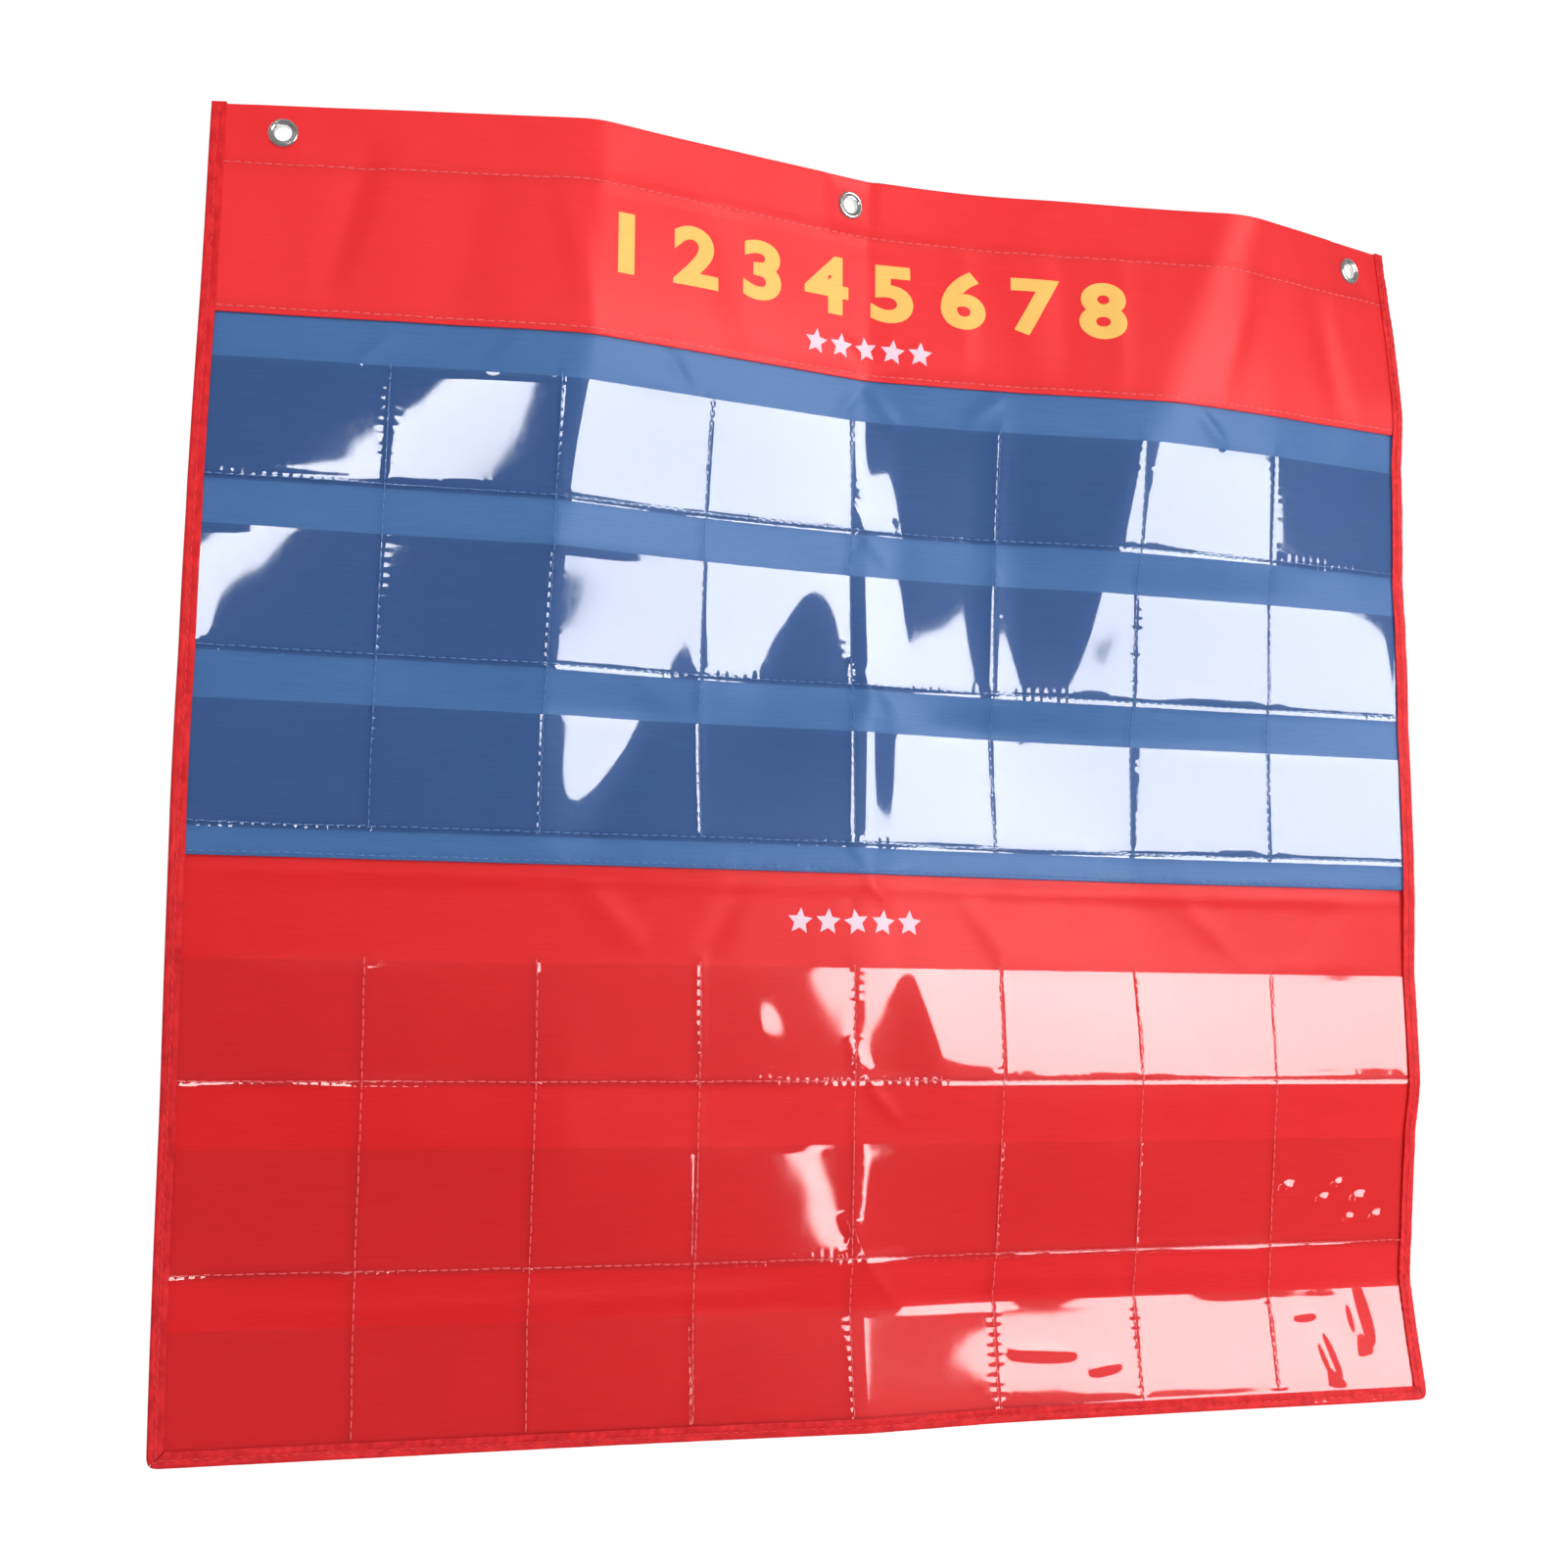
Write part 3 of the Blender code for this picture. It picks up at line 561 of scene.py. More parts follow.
    def wrinkled(self, across: Array, down: Array) -> Array:
        """The folds with their relief, their wrinkles and the cloth's own sway, which pockets hold back.

        Args:
            across: Places across.
            down: Distances down.

        Returns:
            One depth for each place.
        """
        depth = self.folded(across, down) + self.relief.depth(across, down)
        for wrinkle in self.wrinkles:
            depth = depth + wrinkle.depth(across, down)
        free = 1 - self.held_share * self.pocket_share(down)
        for height, size, start in self.sways:
            depth = depth + height * free * self.sway.over(across, down, size, start)
        return depth

    def pocket_share(self, down: Array) -> Array:
        """Where the rows of pockets are.

        Args:
            down: Distances down.

        Returns:
            1 in a row of pockets and 0 between the rows, with soft ends.
        """
        share = np.zeros_like(down)
        for panel in Panel:
            for mouth in self.sizes.rows(panel):
                foot = mouth + self.sizes.pocket_depth(panel)
                inside = np.minimum(down - mouth, foot - down) / self.soft_end + 0.5
                share = np.maximum(share, np.clip(inside, 0, 1))
        return share

    def slopes(self, depth_of: Surface, across: Array, down: Array) -> tuple[Array, Array]:
        """How steeply a depth changes.

        Args:
            depth_of: The depth at places across and down.
            across: Places across.
            down: Distances down.

        Returns:
            Its slopes across the chart and down it.
        """
        step = self.slope_step
        over = depth_of(across + step, down) - depth_of(across - step, down)
        along = depth_of(across, down + step) - depth_of(across, down - step)
        return over / (2 * step), along / (2 * step)

    def depth(self, across: Array, down: Array) -> Array:
        """The whole drape, held flat where an eyelet is set.

        Args:
            across: Places across.
            down: Distances down.

        Returns:
            One depth for each place.
        """
        depth = self.wrinkled(across, down)
        drop = self.sizes.eyelet_drop
        for place in self.sizes.eyelets.values():
            here = (np.array([place]), np.array([drop]))
            level = self.folded(*here)
            slope_across, slope_down = self.slopes(self.folded, *here)
            flat = level + slope_across * (across - place) + slope_down * (down - drop)
            away = np.maximum(np.abs(across - place), np.abs(down - drop))
            hold = np.clip((self.seat + self.seat_fade - away) / self.seat_fade, 0, 1)
            depth = depth + hold * (flat - depth)
        return depth

    def lay_out_plan(self) -> None:
        """Tables how far across the chart each flat point lands once the folds draw the cloth in."""
        margin = self.plan_margin
        reach = self.sizes.half_width + margin
        self.plan_across = np.linspace(-reach, reach, self.plan_steps[0])
        self.plan_down = np.linspace(-margin, self.sizes.height + margin, self.plan_steps[1])
        middles = 0.5 * (self.plan_across[1:] + self.plan_across[:-1])
        grid_across, grid_down = np.meshgrid(middles, self.plan_down)
        slope = self.slopes(self.folded, grid_across.ravel(), grid_down.ravel())[0]
        drawn = np.sqrt(1 - slope**2).reshape(grid_across.shape) * np.diff(self.plan_across)
        plan = np.concatenate([np.zeros((len(self.plan_down), 1)), np.cumsum(drawn, axis=1)], axis=1)
        centre = [np.interp(0.0, self.plan_across, row) for row in plan]
        self.plan = plan - np.array(centre)[:, None]

    def plan_place(self, across: Array, down: Array) -> Array:
        """Where points of the cloth land once the folds draw it in.

        Args:
            across: Places across.
            down: Distances down.

        Returns:
            Their places across, seen from the front.
        """
        x = (across - self.plan_across[0]) / (self.plan_across[1] - self.plan_across[0])
        y = (down - self.plan_down[0]) / (self.plan_down[1] - self.plan_down[0])
        column = np.clip(np.floor(x).astype(int), 0, len(self.plan_across) - 2)
        row = np.clip(np.floor(y).astype(int), 0, len(self.plan_down) - 2)
        x, y = x - column, y - row
        over = self.plan[row, column] * (1 - x) + self.plan[row, column + 1] * x
        under = self.plan[row + 1, column] * (1 - x) + self.plan[row + 1, column + 1] * x
        return over * (1 - y) + under * y

    def surface(self, across: Array, down: Array) -> tuple[Array, Array, Array]:
        """The drape's points with their directions.

        Args:
            across: Places across.
            down: Distances down.

        Returns:
            The points, their directions towards the viewer, and their directions across the chart.
        """
        sizes = self.sizes
        gap = np.hypot(np.abs(across) - sizes.half_width, down - sizes.height)
        pull = sizes.corner_pull * np.clip(1 - gap / sizes.corner_reach, 0, 1) ** 2
        across, down = across - np.sign(across) * pull, down - pull
        slope_across, slope_down = self.slopes(self.depth, across, down)
        width = np.sqrt(1 - np.clip(slope_across, -self.steepest, self.steepest) ** 2)
        points = np.stack([self.plan_place(across, down), self.depth(across, down), -down], axis=1)
        facing = np.stack([slope_across, -width, -width * slope_down], axis=1)
        facing /= np.linalg.norm(facing, axis=1)[:, None]
        return points, facing, np.stack([width, slope_across, np.zeros_like(width)], axis=1)

    def eyelet_frame(self, place: float) -> tuple[Array, Array, Array]:
        """Where one eyelet sits: a point on the back of the hem, and two directions."""
        points, facing, sideways = self.surface(np.array([place]), np.array([self.sizes.eyelet_drop]))
        return points[0], facing[0], sideways[0]

    def hang(self, flat: Array) -> Array:
        """Flat points (across, height, down) laid on the drape, each at its own height above it."""
        points, facing, _ = self.surface(flat[:, 0], flat[:, 2])
        return points + flat[:, 1:2] * facing - self.origin


@dataclass(frozen=True)
class SeamLine:
    """A straight row of stitches from one flat place to another."""

    start: Pair
    end: Pair
    pitch: float = 0.0050

    def nearness(self, across: Array, down: Array, reach: float) -> Array:
        """How near each place lies to the stitches.

        Args:
            across: Places across.
            down: Distances down.
            reach: How far to each side the line is felt.

        Returns:
            From 0 far off to 1 on the line.
        """
        run = (self.end[0] - self.start[0], self.end[1] - self.start[1])
        length = math.hypot(*run)
        from_start = (across - self.start[0], down - self.start[1])
        along = np.clip((from_start[0] * run[0] + from_start[1] * run[1]) / length**2, 0, 1)
        away = np.hypot(from_start[0] - along * run[0], from_start[1] - along * run[1])
        return np.exp(-((away / reach) ** 2))

    def needle_holes(self, across: Array, down: Array) -> Array:
        """How near each place lies, along the row, to a needle hole.

        Args:
            across: Places across.
            down: Distances down.

        Returns:
            From 0 between two holes to 1 beside one.
        """
        run = (self.end[0] - self.start[0], self.end[1] - self.start[1])
        length = math.hypot(*run)
        along = ((across - self.start[0]) * run[0] + (down - self.start[1]) * run[1]) / length
        return 0.5 + 0.5 * np.cos(2 * math.pi * along * round(length / self.pitch) / length)


class SeamPlan:
    """Where every row of stitches runs on the flat chart."""

    hem_drop = 0.0315
    header_inset = 0.0030
    upper_inset = 0.0020
    start_above = 0.0025
    under_binding = 0.001
    past_foot = 0.001
    above_binding = 0.0008

    def __init__(self, sizes: ChartSizes) -> None:
        """Lists the rows.

        Args:
            sizes: The flat chart's sizes.
        """
        self.edge = sizes.half_width - sizes.side_binding + self.under_binding
        self.top_hem = self.across([self.hem_drop])
        self.header_foot = self.across([sizes.header - self.header_inset])
        self.upper_foot = self.across([sizes.upper_end - self.upper_inset])
        self.upper = self.across(sizes.feet(Panel.UPPER))
        self.upper += self.upright(sizes, sizes.upper_rows[0], sizes.upper_seam + self.past_foot)
        self.lower = self.across(sizes.feet(Panel.LOWER)[:2])
        self.lower += self.upright(sizes, sizes.lower_rows[0], sizes.binding_top - self.above_binding)

    def across(self, drops: Sequence[float]) -> list[SeamLine]:
        """Rows from one binding to the other, at distances down the chart."""
        return [SeamLine((-self.edge, drop), (self.edge, drop)) for drop in drops]

    def upright(self, sizes: ChartSizes, mouth: float, end: float) -> list[SeamLine]:
        """Rows down between the pockets, from just above the first mouth."""
        start = mouth - self.start_above
        return [SeamLine((seam, start), (seam, end)) for seam in sizes.seams]

    def pockets(self, panel: Panel) -> list[SeamLine]:
        """The rows that make a panel's pockets."""
        return self.upper if panel is Panel.UPPER else self.lower

    def nearness(self, across: Array, down: Array, reach: float = 0.0035) -> Array:
        """How near each place lies to any of the seams.

        Args:
            across: Places across.
            down: Distances down.
            reach: How far to each side a seam is felt.

        Returns:
            From 0 far off to 1 on a seam.
        """
        most = np.zeros_like(across)
        for line in self.top_hem + self.header_foot + self.upper_foot + self.upper + self.lower:
            most = np.maximum(most, line.nearness(across, down, reach))
        return most


class NodeSketch:
    """Shorthand for laying out the nodes of one material, or of the world."""

    def __init__(self, name: str, world: bpy.types.World | None = None) -> None:
        """Starts the nodes.

        Args:
            name: The new material's name.
            world: The world, where the nodes are its own.
        """
        self.material = world or bpy.data.materials.new(name)
        self.material.use_nodes = True
        self.tree = self.material.node_tree
        self.shader = self.tree.nodes.get("Principled BSDF")
        self.output = self.tree.nodes["World Output" if world else "Material Output"]

    def add(self, kind: str, **settings: object) -> bpy.types.Node:
        """A node of a kind. Settings are its own properties.

        Args:
            kind: The node's type name.
            settings: Properties of the node and their values.

        Returns:
            The node.
        """
        node = self.tree.nodes.new(kind)
        for key, value in settings.items():
            setattr(node, key, value)
        return node

    def link(self, source: Socket, target: Socket) -> None:
        """Joins two sockets."""
        self.tree.links.new(source, target)

    def feed(self, node: bpy.types.Node, **values: object) -> bpy.types.Node:
        """Sets or links a node's inputs, whose names are given with low lines for spaces.

        Args:
            node: The node.
            values: A number, colour or socket for each input.

        Returns:
            The same node.
        """
        for key, value in values.items():
            socket = node.inputs[int(key[1:])] if key[0] == "_" else node.inputs[key.replace("_", " ")]
            if isinstance(value, Socket):
                self.link(value, socket)
            else:
                socket.default_value = value
        return node

    def grain(self, scale: Triple) -> Socket:
        """The piece's own flat coordinates in metres, scaled across and down."""
        source = self.add("ShaderNodeUVMap", uv_map="grain").outputs["UV"]
        return self.feed(self.add("ShaderNodeMapping"), Vector=source, Scale=scale).outputs["Vector"]

    def noise(self, waves: Pair, detail: float = 2.0, roughness: float = 0.5) -> Socket:
        """Soft noise over the flat cloth.

        Args:
            waves: Waves to the metre across and down.
            detail: How many finer layers it has.
            roughness: How strong they are.

        Returns:
            Its value, from 0 to 1.
        """
        node = self.add("ShaderNodeTexNoise")
        grain = self.grain((*waves, 1.0))
        return self.feed(node, Vector=grain, Scale=1.0, Detail=detail, Roughness=roughness).outputs["Fac"]

    def bands(self, pitch: float, direction: str) -> Socket:
        """Even ribs over the flat cloth.

        Args:
            pitch: From rib to rib, in metres.
            direction: The axis that they follow each other along.

        Returns:
            Their value, from 0 to 1.
        """
        node = self.add("ShaderNodeTexWave", wave_type="BANDS", bands_direction=direction)
        scale = math.pi / (10 * pitch)
        grain = self.grain((1.0, 1.0, 1.0))
        return self.feed(node, Vector=grain, Scale=scale, Distortion=0.0, Detail=0.0).outputs["Fac"]

    def worked(self, operation: str, *values: Socket | float) -> Socket:
        """The result of an operation on some values, in their order."""
        numbered = {f"_{number}": value for number, value in enumerate(values)}
        return self.feed(self.add("ShaderNodeMath", operation=operation), **numbered).outputs[0]

    def spread(self, value: Socket, start: float, end: float, low: float = 0.3, high: float = 0.7) -> Socket:
        """A value spread over another range.

        Args:
            value: The value.
            start: The result where it is low.
            end: The result where it is high.
            low: The value's low end.
            high: Its high end.

        Returns:
            The result.
        """
        ends = {"From_Min": low, "From_Max": high, "To_Min": start, "To_Max": end}
        return self.feed(self.add("ShaderNodeMapRange"), Value=value, **ends).outputs["Result"]

    def mixed(self, share: Socket, first: Socket | Triple, second: Triple) -> Socket:
        """Two colours mixed by a share.

        Args:
            share: How much of the second one there is.
            first: The first colour.
            second: The second colour.

        Returns:
            The mixed colour.
        """
        base = first if isinstance(first, Socket) else opaque(first)
        node = self.add("ShaderNodeMix", data_type="RGBA")
        return self.feed(node, _0=share, _6=base, _7=opaque(second)).outputs[2]

    def bump(self, height: Socket, distance: float, strength: float, under: Socket | None = None) -> Socket:
        """A bump of a real depth.

        Args:
            height: Its height, from 0 to 1.
            distance: What 1 stands for, in metres.
            strength: How much of it shows.
            under: A bump that it lies over, if any.

        Returns:
            The bumped normal.
        """
        node = self.feed(self.add("ShaderNodeBump"), Height=height, Distance=distance, Strength=strength)
        if under:
            self.link(under, node.inputs["Normal"])
        return node.outputs["Normal"]

    def dress_shader(self, **values: Socket | float | Triple) -> Material:
        """Sets or links the shader's inputs and hands over the material."""
        self.feed(self.shader, **values)
        return self.material


def opaque(colour: Triple) -> tuple[float, float, float, float]:
    """A colour with its alpha."""
    return (*colour, 1.0)


def shade(colour: Triple, share: float) -> Triple:
    """A colour made darker or lighter."""
    return tuple(min(1.0, channel * share) for channel in colour)


@dataclass(frozen=True)
class NylonFinish:
    """Coated nylon in a plain weave, with a soft shine, weft streaks, puckers along its seams and painted
    shade beside them.
    """

    name: str
    colour: Triple
    pale: Triple
    roughness: float = 0.34
    specular: float = 0.30
    weave: float = 0.00045
    weave_depth: float = 0.00006
    pucker_depth: float = 0.0009

    def make(self) -> Material:
        """Lays out the finish.

        Returns:
            The material.
        """
        sketch = NodeSketch(self.name)
        streaks = sketch.noise((40.0, 1500.0), 3.0, 0.65)
        slubs = sketch.noise((14.0, 420.0))
        mottle = sketch.noise((22.0, 30.0), 3.0)
        pull = sketch.add("ShaderNodeAttribute", attribute_name="pull").outputs["Fac"]
        base = sketch.mixed(sketch.spread(streaks, 0.0, 1.0, 0.25, 0.75), shade(self.colour, 0.95), self.pale)
        base = sketch.mixed(sketch.spread(mottle, 0.0, 0.16), base, shade(self.colour, 0.84))
        # Painted shade: near the seams the colour is mixed up to 16% towards a darker copy of itself,
        # standing for the shade in the puckers.
        base = sketch.mixed(sketch.spread(pull, 0.0, 0.16, 0.0, 1.0), base, shade(self.colour, 0.62))
        weave = sketch.worked("MULTIPLY", sketch.bands(self.weave, "Y"), sketch.bands(self.weave, "X"))
        threads = sketch.worked("MULTIPLY_ADD", slubs, 0.6, streaks)
        pucker = sketch.worked("MULTIPLY", pull, sketch.noise((150.0, 150.0)))
        soft = sketch.worked("MULTIPLY_ADD", sketch.noise((60.0, 45.0)), 0.35, pucker)
        coarse = sketch.bump(soft, self.pucker_depth, 0.55)
        fine = sketch.worked("MULTIPLY_ADD", weave, 0.5, threads)
        return sketch.dress_shader(
            Base_Color=base,
            Roughness=sketch.spread(streaks, self.roughness - 0.05, self.roughness + 0.06),
            Normal=sketch.bump(fine, self.weave_depth, 0.5, coarse),
            Specular_IOR_Level=self.specular,
            Sheen_Weight=0.03,
            Sheen_Roughness=0.4,
        )


@dataclass(frozen=True)
class TapeFinish:
    """Narrow binding cut from the same nylon, creased by its stitches."""

    name: str
    colour: Triple
    pale: Triple
    roughness: float = 0.5
    rib: float = 0.0005
    rib_depth: float = 0.00007
    crease_depth: float = 0.0006

    def make(self) -> Material:
        """Lays out the finish.

        Returns:
            The material.
        """
        sketch = NodeSketch(self.name)
        threads = sketch.noise((300.0, 1500.0), 3.0, 0.6)
        blotch = sketch.noise((130.0, 260.0))
        base = sketch.mixed(sketch.spread(blotch, 0.0, 1.0, 0.35, 0.65), shade(self.colour, 0.88), self.pale)
        base = sketch.mixed(sketch.spread(threads, 0.0, 0.25), base, self.colour)
        fine = sketch.worked("MULTIPLY_ADD", sketch.bands(self.rib, "X"), 0.4, threads)
        coarse = sketch.bump(blotch, self.crease_depth, 0.5)
        return sketch.dress_shader(
            Base_Color=base,
            Roughness=sketch.spread(threads, self.roughness - 0.05, self.roughness + 0.06),
            Normal=sketch.bump(fine, self.rib_depth, 0.5, coarse),
            Specular_IOR_Level=0.3,
        )


@dataclass(frozen=True)
class VinylFinish:
    """Clear soft vinyl: it shows the cloth behind it, a little darker, and mirrors the lamps."""

    name: str
    tint: Triple = (0.905, 0.925, 0.945)
    straight_on: float = 0.045
    roughness: float = 0.03
    film_depth: float = 0.00010

    def make(self) -> Material:
        """Lays out the finish.

        Returns:
            The material.
        """
        sketch = NodeSketch(self.name)
        facing = sketch.add("ShaderNodeLayerWeight").outputs["Facing"]
        mirror = sketch.spread(sketch.worked("POWER", facing, 5.0), self.straight_on, 1.0, 0.0, 1.0)
        scuffs = sketch.noise((500.0, 90.0), 4.0, 0.7)
        clear = sketch.feed(sketch.add("ShaderNodeBsdfTransparent"), Color=opaque(self.tint))
        both = sketch.add("ShaderNodeMixShader")
        sketch.feed(both, _0=mirror, _1=clear.outputs[0], _2=sketch.shader.outputs[0])
        sketch.link(both.outputs[0], sketch.output.inputs["Surface"])
        return sketch.dress_shader(
            Base_Color=opaque((1.0, 1.0, 1.0)),
            Metallic=1.0,
            Roughness=sketch.spread(scuffs, self.roughness, self.roughness + 0.05, 0.35, 0.75),
            Normal=sketch.bump(sketch.noise((45.0, 60.0)), self.film_depth, 0.35),
        )


@dataclass(frozen=True)
class ThreadFinish:
    """Shiny twisted sewing thread, with painted shade in the grooves of its twist."""

    name: str
    colour: Triple
    twist: float = 0.0006
    twist_depth: float = 0.00008

    def make(self) -> Material:
        """Lays out the finish.

        Returns:
            The material.
        """
        sketch = NodeSketch(self.name)
        twist = sketch.bands(self.twist, "DIAGONAL")
        return sketch.dress_shader(
            # Painted shade: the colour darkens by a tenth in the twist's grooves, where the bump is low.
            Base_Color=sketch.mixed(twist, shade(self.colour, 0.90), self.colour),
            Roughness=sketch.spread(sketch.noise((900.0, 900.0)), 0.32, 0.48),
            Normal=sketch.bump(twist, self.twist_depth, 0.6),
            Sheen_Weight=0.15,
            Sheen_Roughness=0.35,
        )


@dataclass(frozen=True)
class NickelFinish:
    """Bright nickel plate with fine rubbing marks."""

    name: str
    colour: Triple = (0.80, 0.79, 0.77)
    mark_depth: float = 0.00002

    def make(self) -> Material:
        """Lays out the finish.

        Returns:
            The material.
        """
        sketch = NodeSketch(self.name)
        rubbed = sketch.noise((300.0, 2500.0), 3.0, 0.6)
        cloud = sketch.spread(sketch.noise((400.0, 400.0)), 0.0, 1.0)
        return sketch.dress_shader(
            Base_Color=sketch.mixed(cloud, self.colour, shade(self.colour, 0.88)),
            Metallic=0.82,
            Roughness=sketch.spread(rubbed, 0.14, 0.24),
            Normal=sketch.bump(rubbed, self.mark_depth, 0.4),
        )


@dataclass(frozen=True)
class InkFinish:
    """Screen-printed ink that lies thin on the weave."""

    name: str
    colour: Triple
    thin: Triple
    streak_depth: float = 0.00005

    def make(self) -> Material:
        """Lays out the finish.

        Returns:
            The material.
        """
        sketch = NodeSketch(self.name)
        streaks = sketch.noise((60.0, 1200.0), 3.0, 0.6)
        cover = sketch.spread(sketch.noise((90.0, 110.0), 3.0), 0.0, 0.30, 0.35, 0.75)
        return sketch.dress_shader(
            Base_Color=sketch.mixed(cover, self.colour, self.thin),
            Roughness=sketch.spread(streaks, 0.42, 0.55),
            Normal=sketch.bump(streaks, self.streak_depth, 0.5),
            Specular_IOR_Level=0.3,
        )


def even_steps(start: float, end: float, spacing: float) -> Array:
    """Evenly spread places from start to end, no further apart than the spacing."""
    return np.linspace(start, end, max(2, math.ceil(abs(end - start) / spacing) + 1))


def graded_steps(start: float, end: float, marks: Sequence[float], reach: float, steps: Pair) -> Array:
    """Places from start to end, close together near some marks.

    Args:
        start: The first place.
        end: The last place.
        marks: Where the places lie close together.
        reach: How far from a mark they do so.
        steps: The small step and the large one.

    Returns:
        The places.
    """
    fine, coarse = steps
    places = [start]
    while places[-1] < end - 0.5 * fine:
        away = min(abs(places[-1] - mark) for mark in marks)
        places.append(min(end, places[-1] + (fine if away < reach else coarse)))
    return np.array(places)


def half_turn(edge: float, start: float, end: float, towards: int, thickness: float) -> list[Pair]:
    """Points of a cloth turned back at an edge.

    Args:
        edge: Where the turn's outside lies down the chart.
        start: Height of the layer that the cloth leaves.
        end: Height of the layer that it reaches.
        towards: 1 where the turn bulges downwards, -1 where upwards.
        thickness: The cloth's thickness.

    Returns:
        Points (down, height).
    """
    radius = 0.5 * abs(start - end)
    centre = edge - towards * (radius + 0.5 * thickness)
    turns = np.linspace(0.5 * math.pi, -0.5 * math.pi, TURN_POINTS)
    middle, rise = 0.5 * (start + end), 0.5 * (start - end)
    return [(centre + towards * radius * math.cos(turn), middle + rise * math.sin(turn)) for turn in turns]


def cells(grid: Array) -> Array:
    """Four-cornered faces between the rows and columns of a grid of point numbers."""
    corners = [grid[:-1, :-1], grid[:-1, 1:], grid[1:, 1:], grid[1:, :-1]]
    return np.stack(corners, axis=-1).reshape(-1, 4)


def carried_across(down: Array, height: Array, across: Array) -> Array:
    """Flat points of sections that are carried across the chart."""
    return np.stack([across, height, down], axis=-1)


def at_height(height: float) -> Surface:
    """A flat surface at one height, for stitches to lie on."""
    return lambda across, down: np.full_like(down, height)


def placed(name: str, data: bpy.types.ID) -> Object:
    """A new object that holds the data, linked to the scene.

    Args:
        name: The object's name.
        data: Its mesh, curve, lamp or camera.

    Returns:
        The object.
    """
    made = bpy.data.objects.new(name, data)
    bpy.context.scene.collection.objects.link(made)
    return made


def placed_form(name: str, form: Form) -> Object:
    """A new object from a finished form.

    Args:
        name: The object's name.
        form: The form, which is let go.

    Returns:
        The object.
    """
    mesh = bpy.data.meshes.new(name)
    form.to_mesh(mesh)
    form.free()
    return placed(name, mesh)


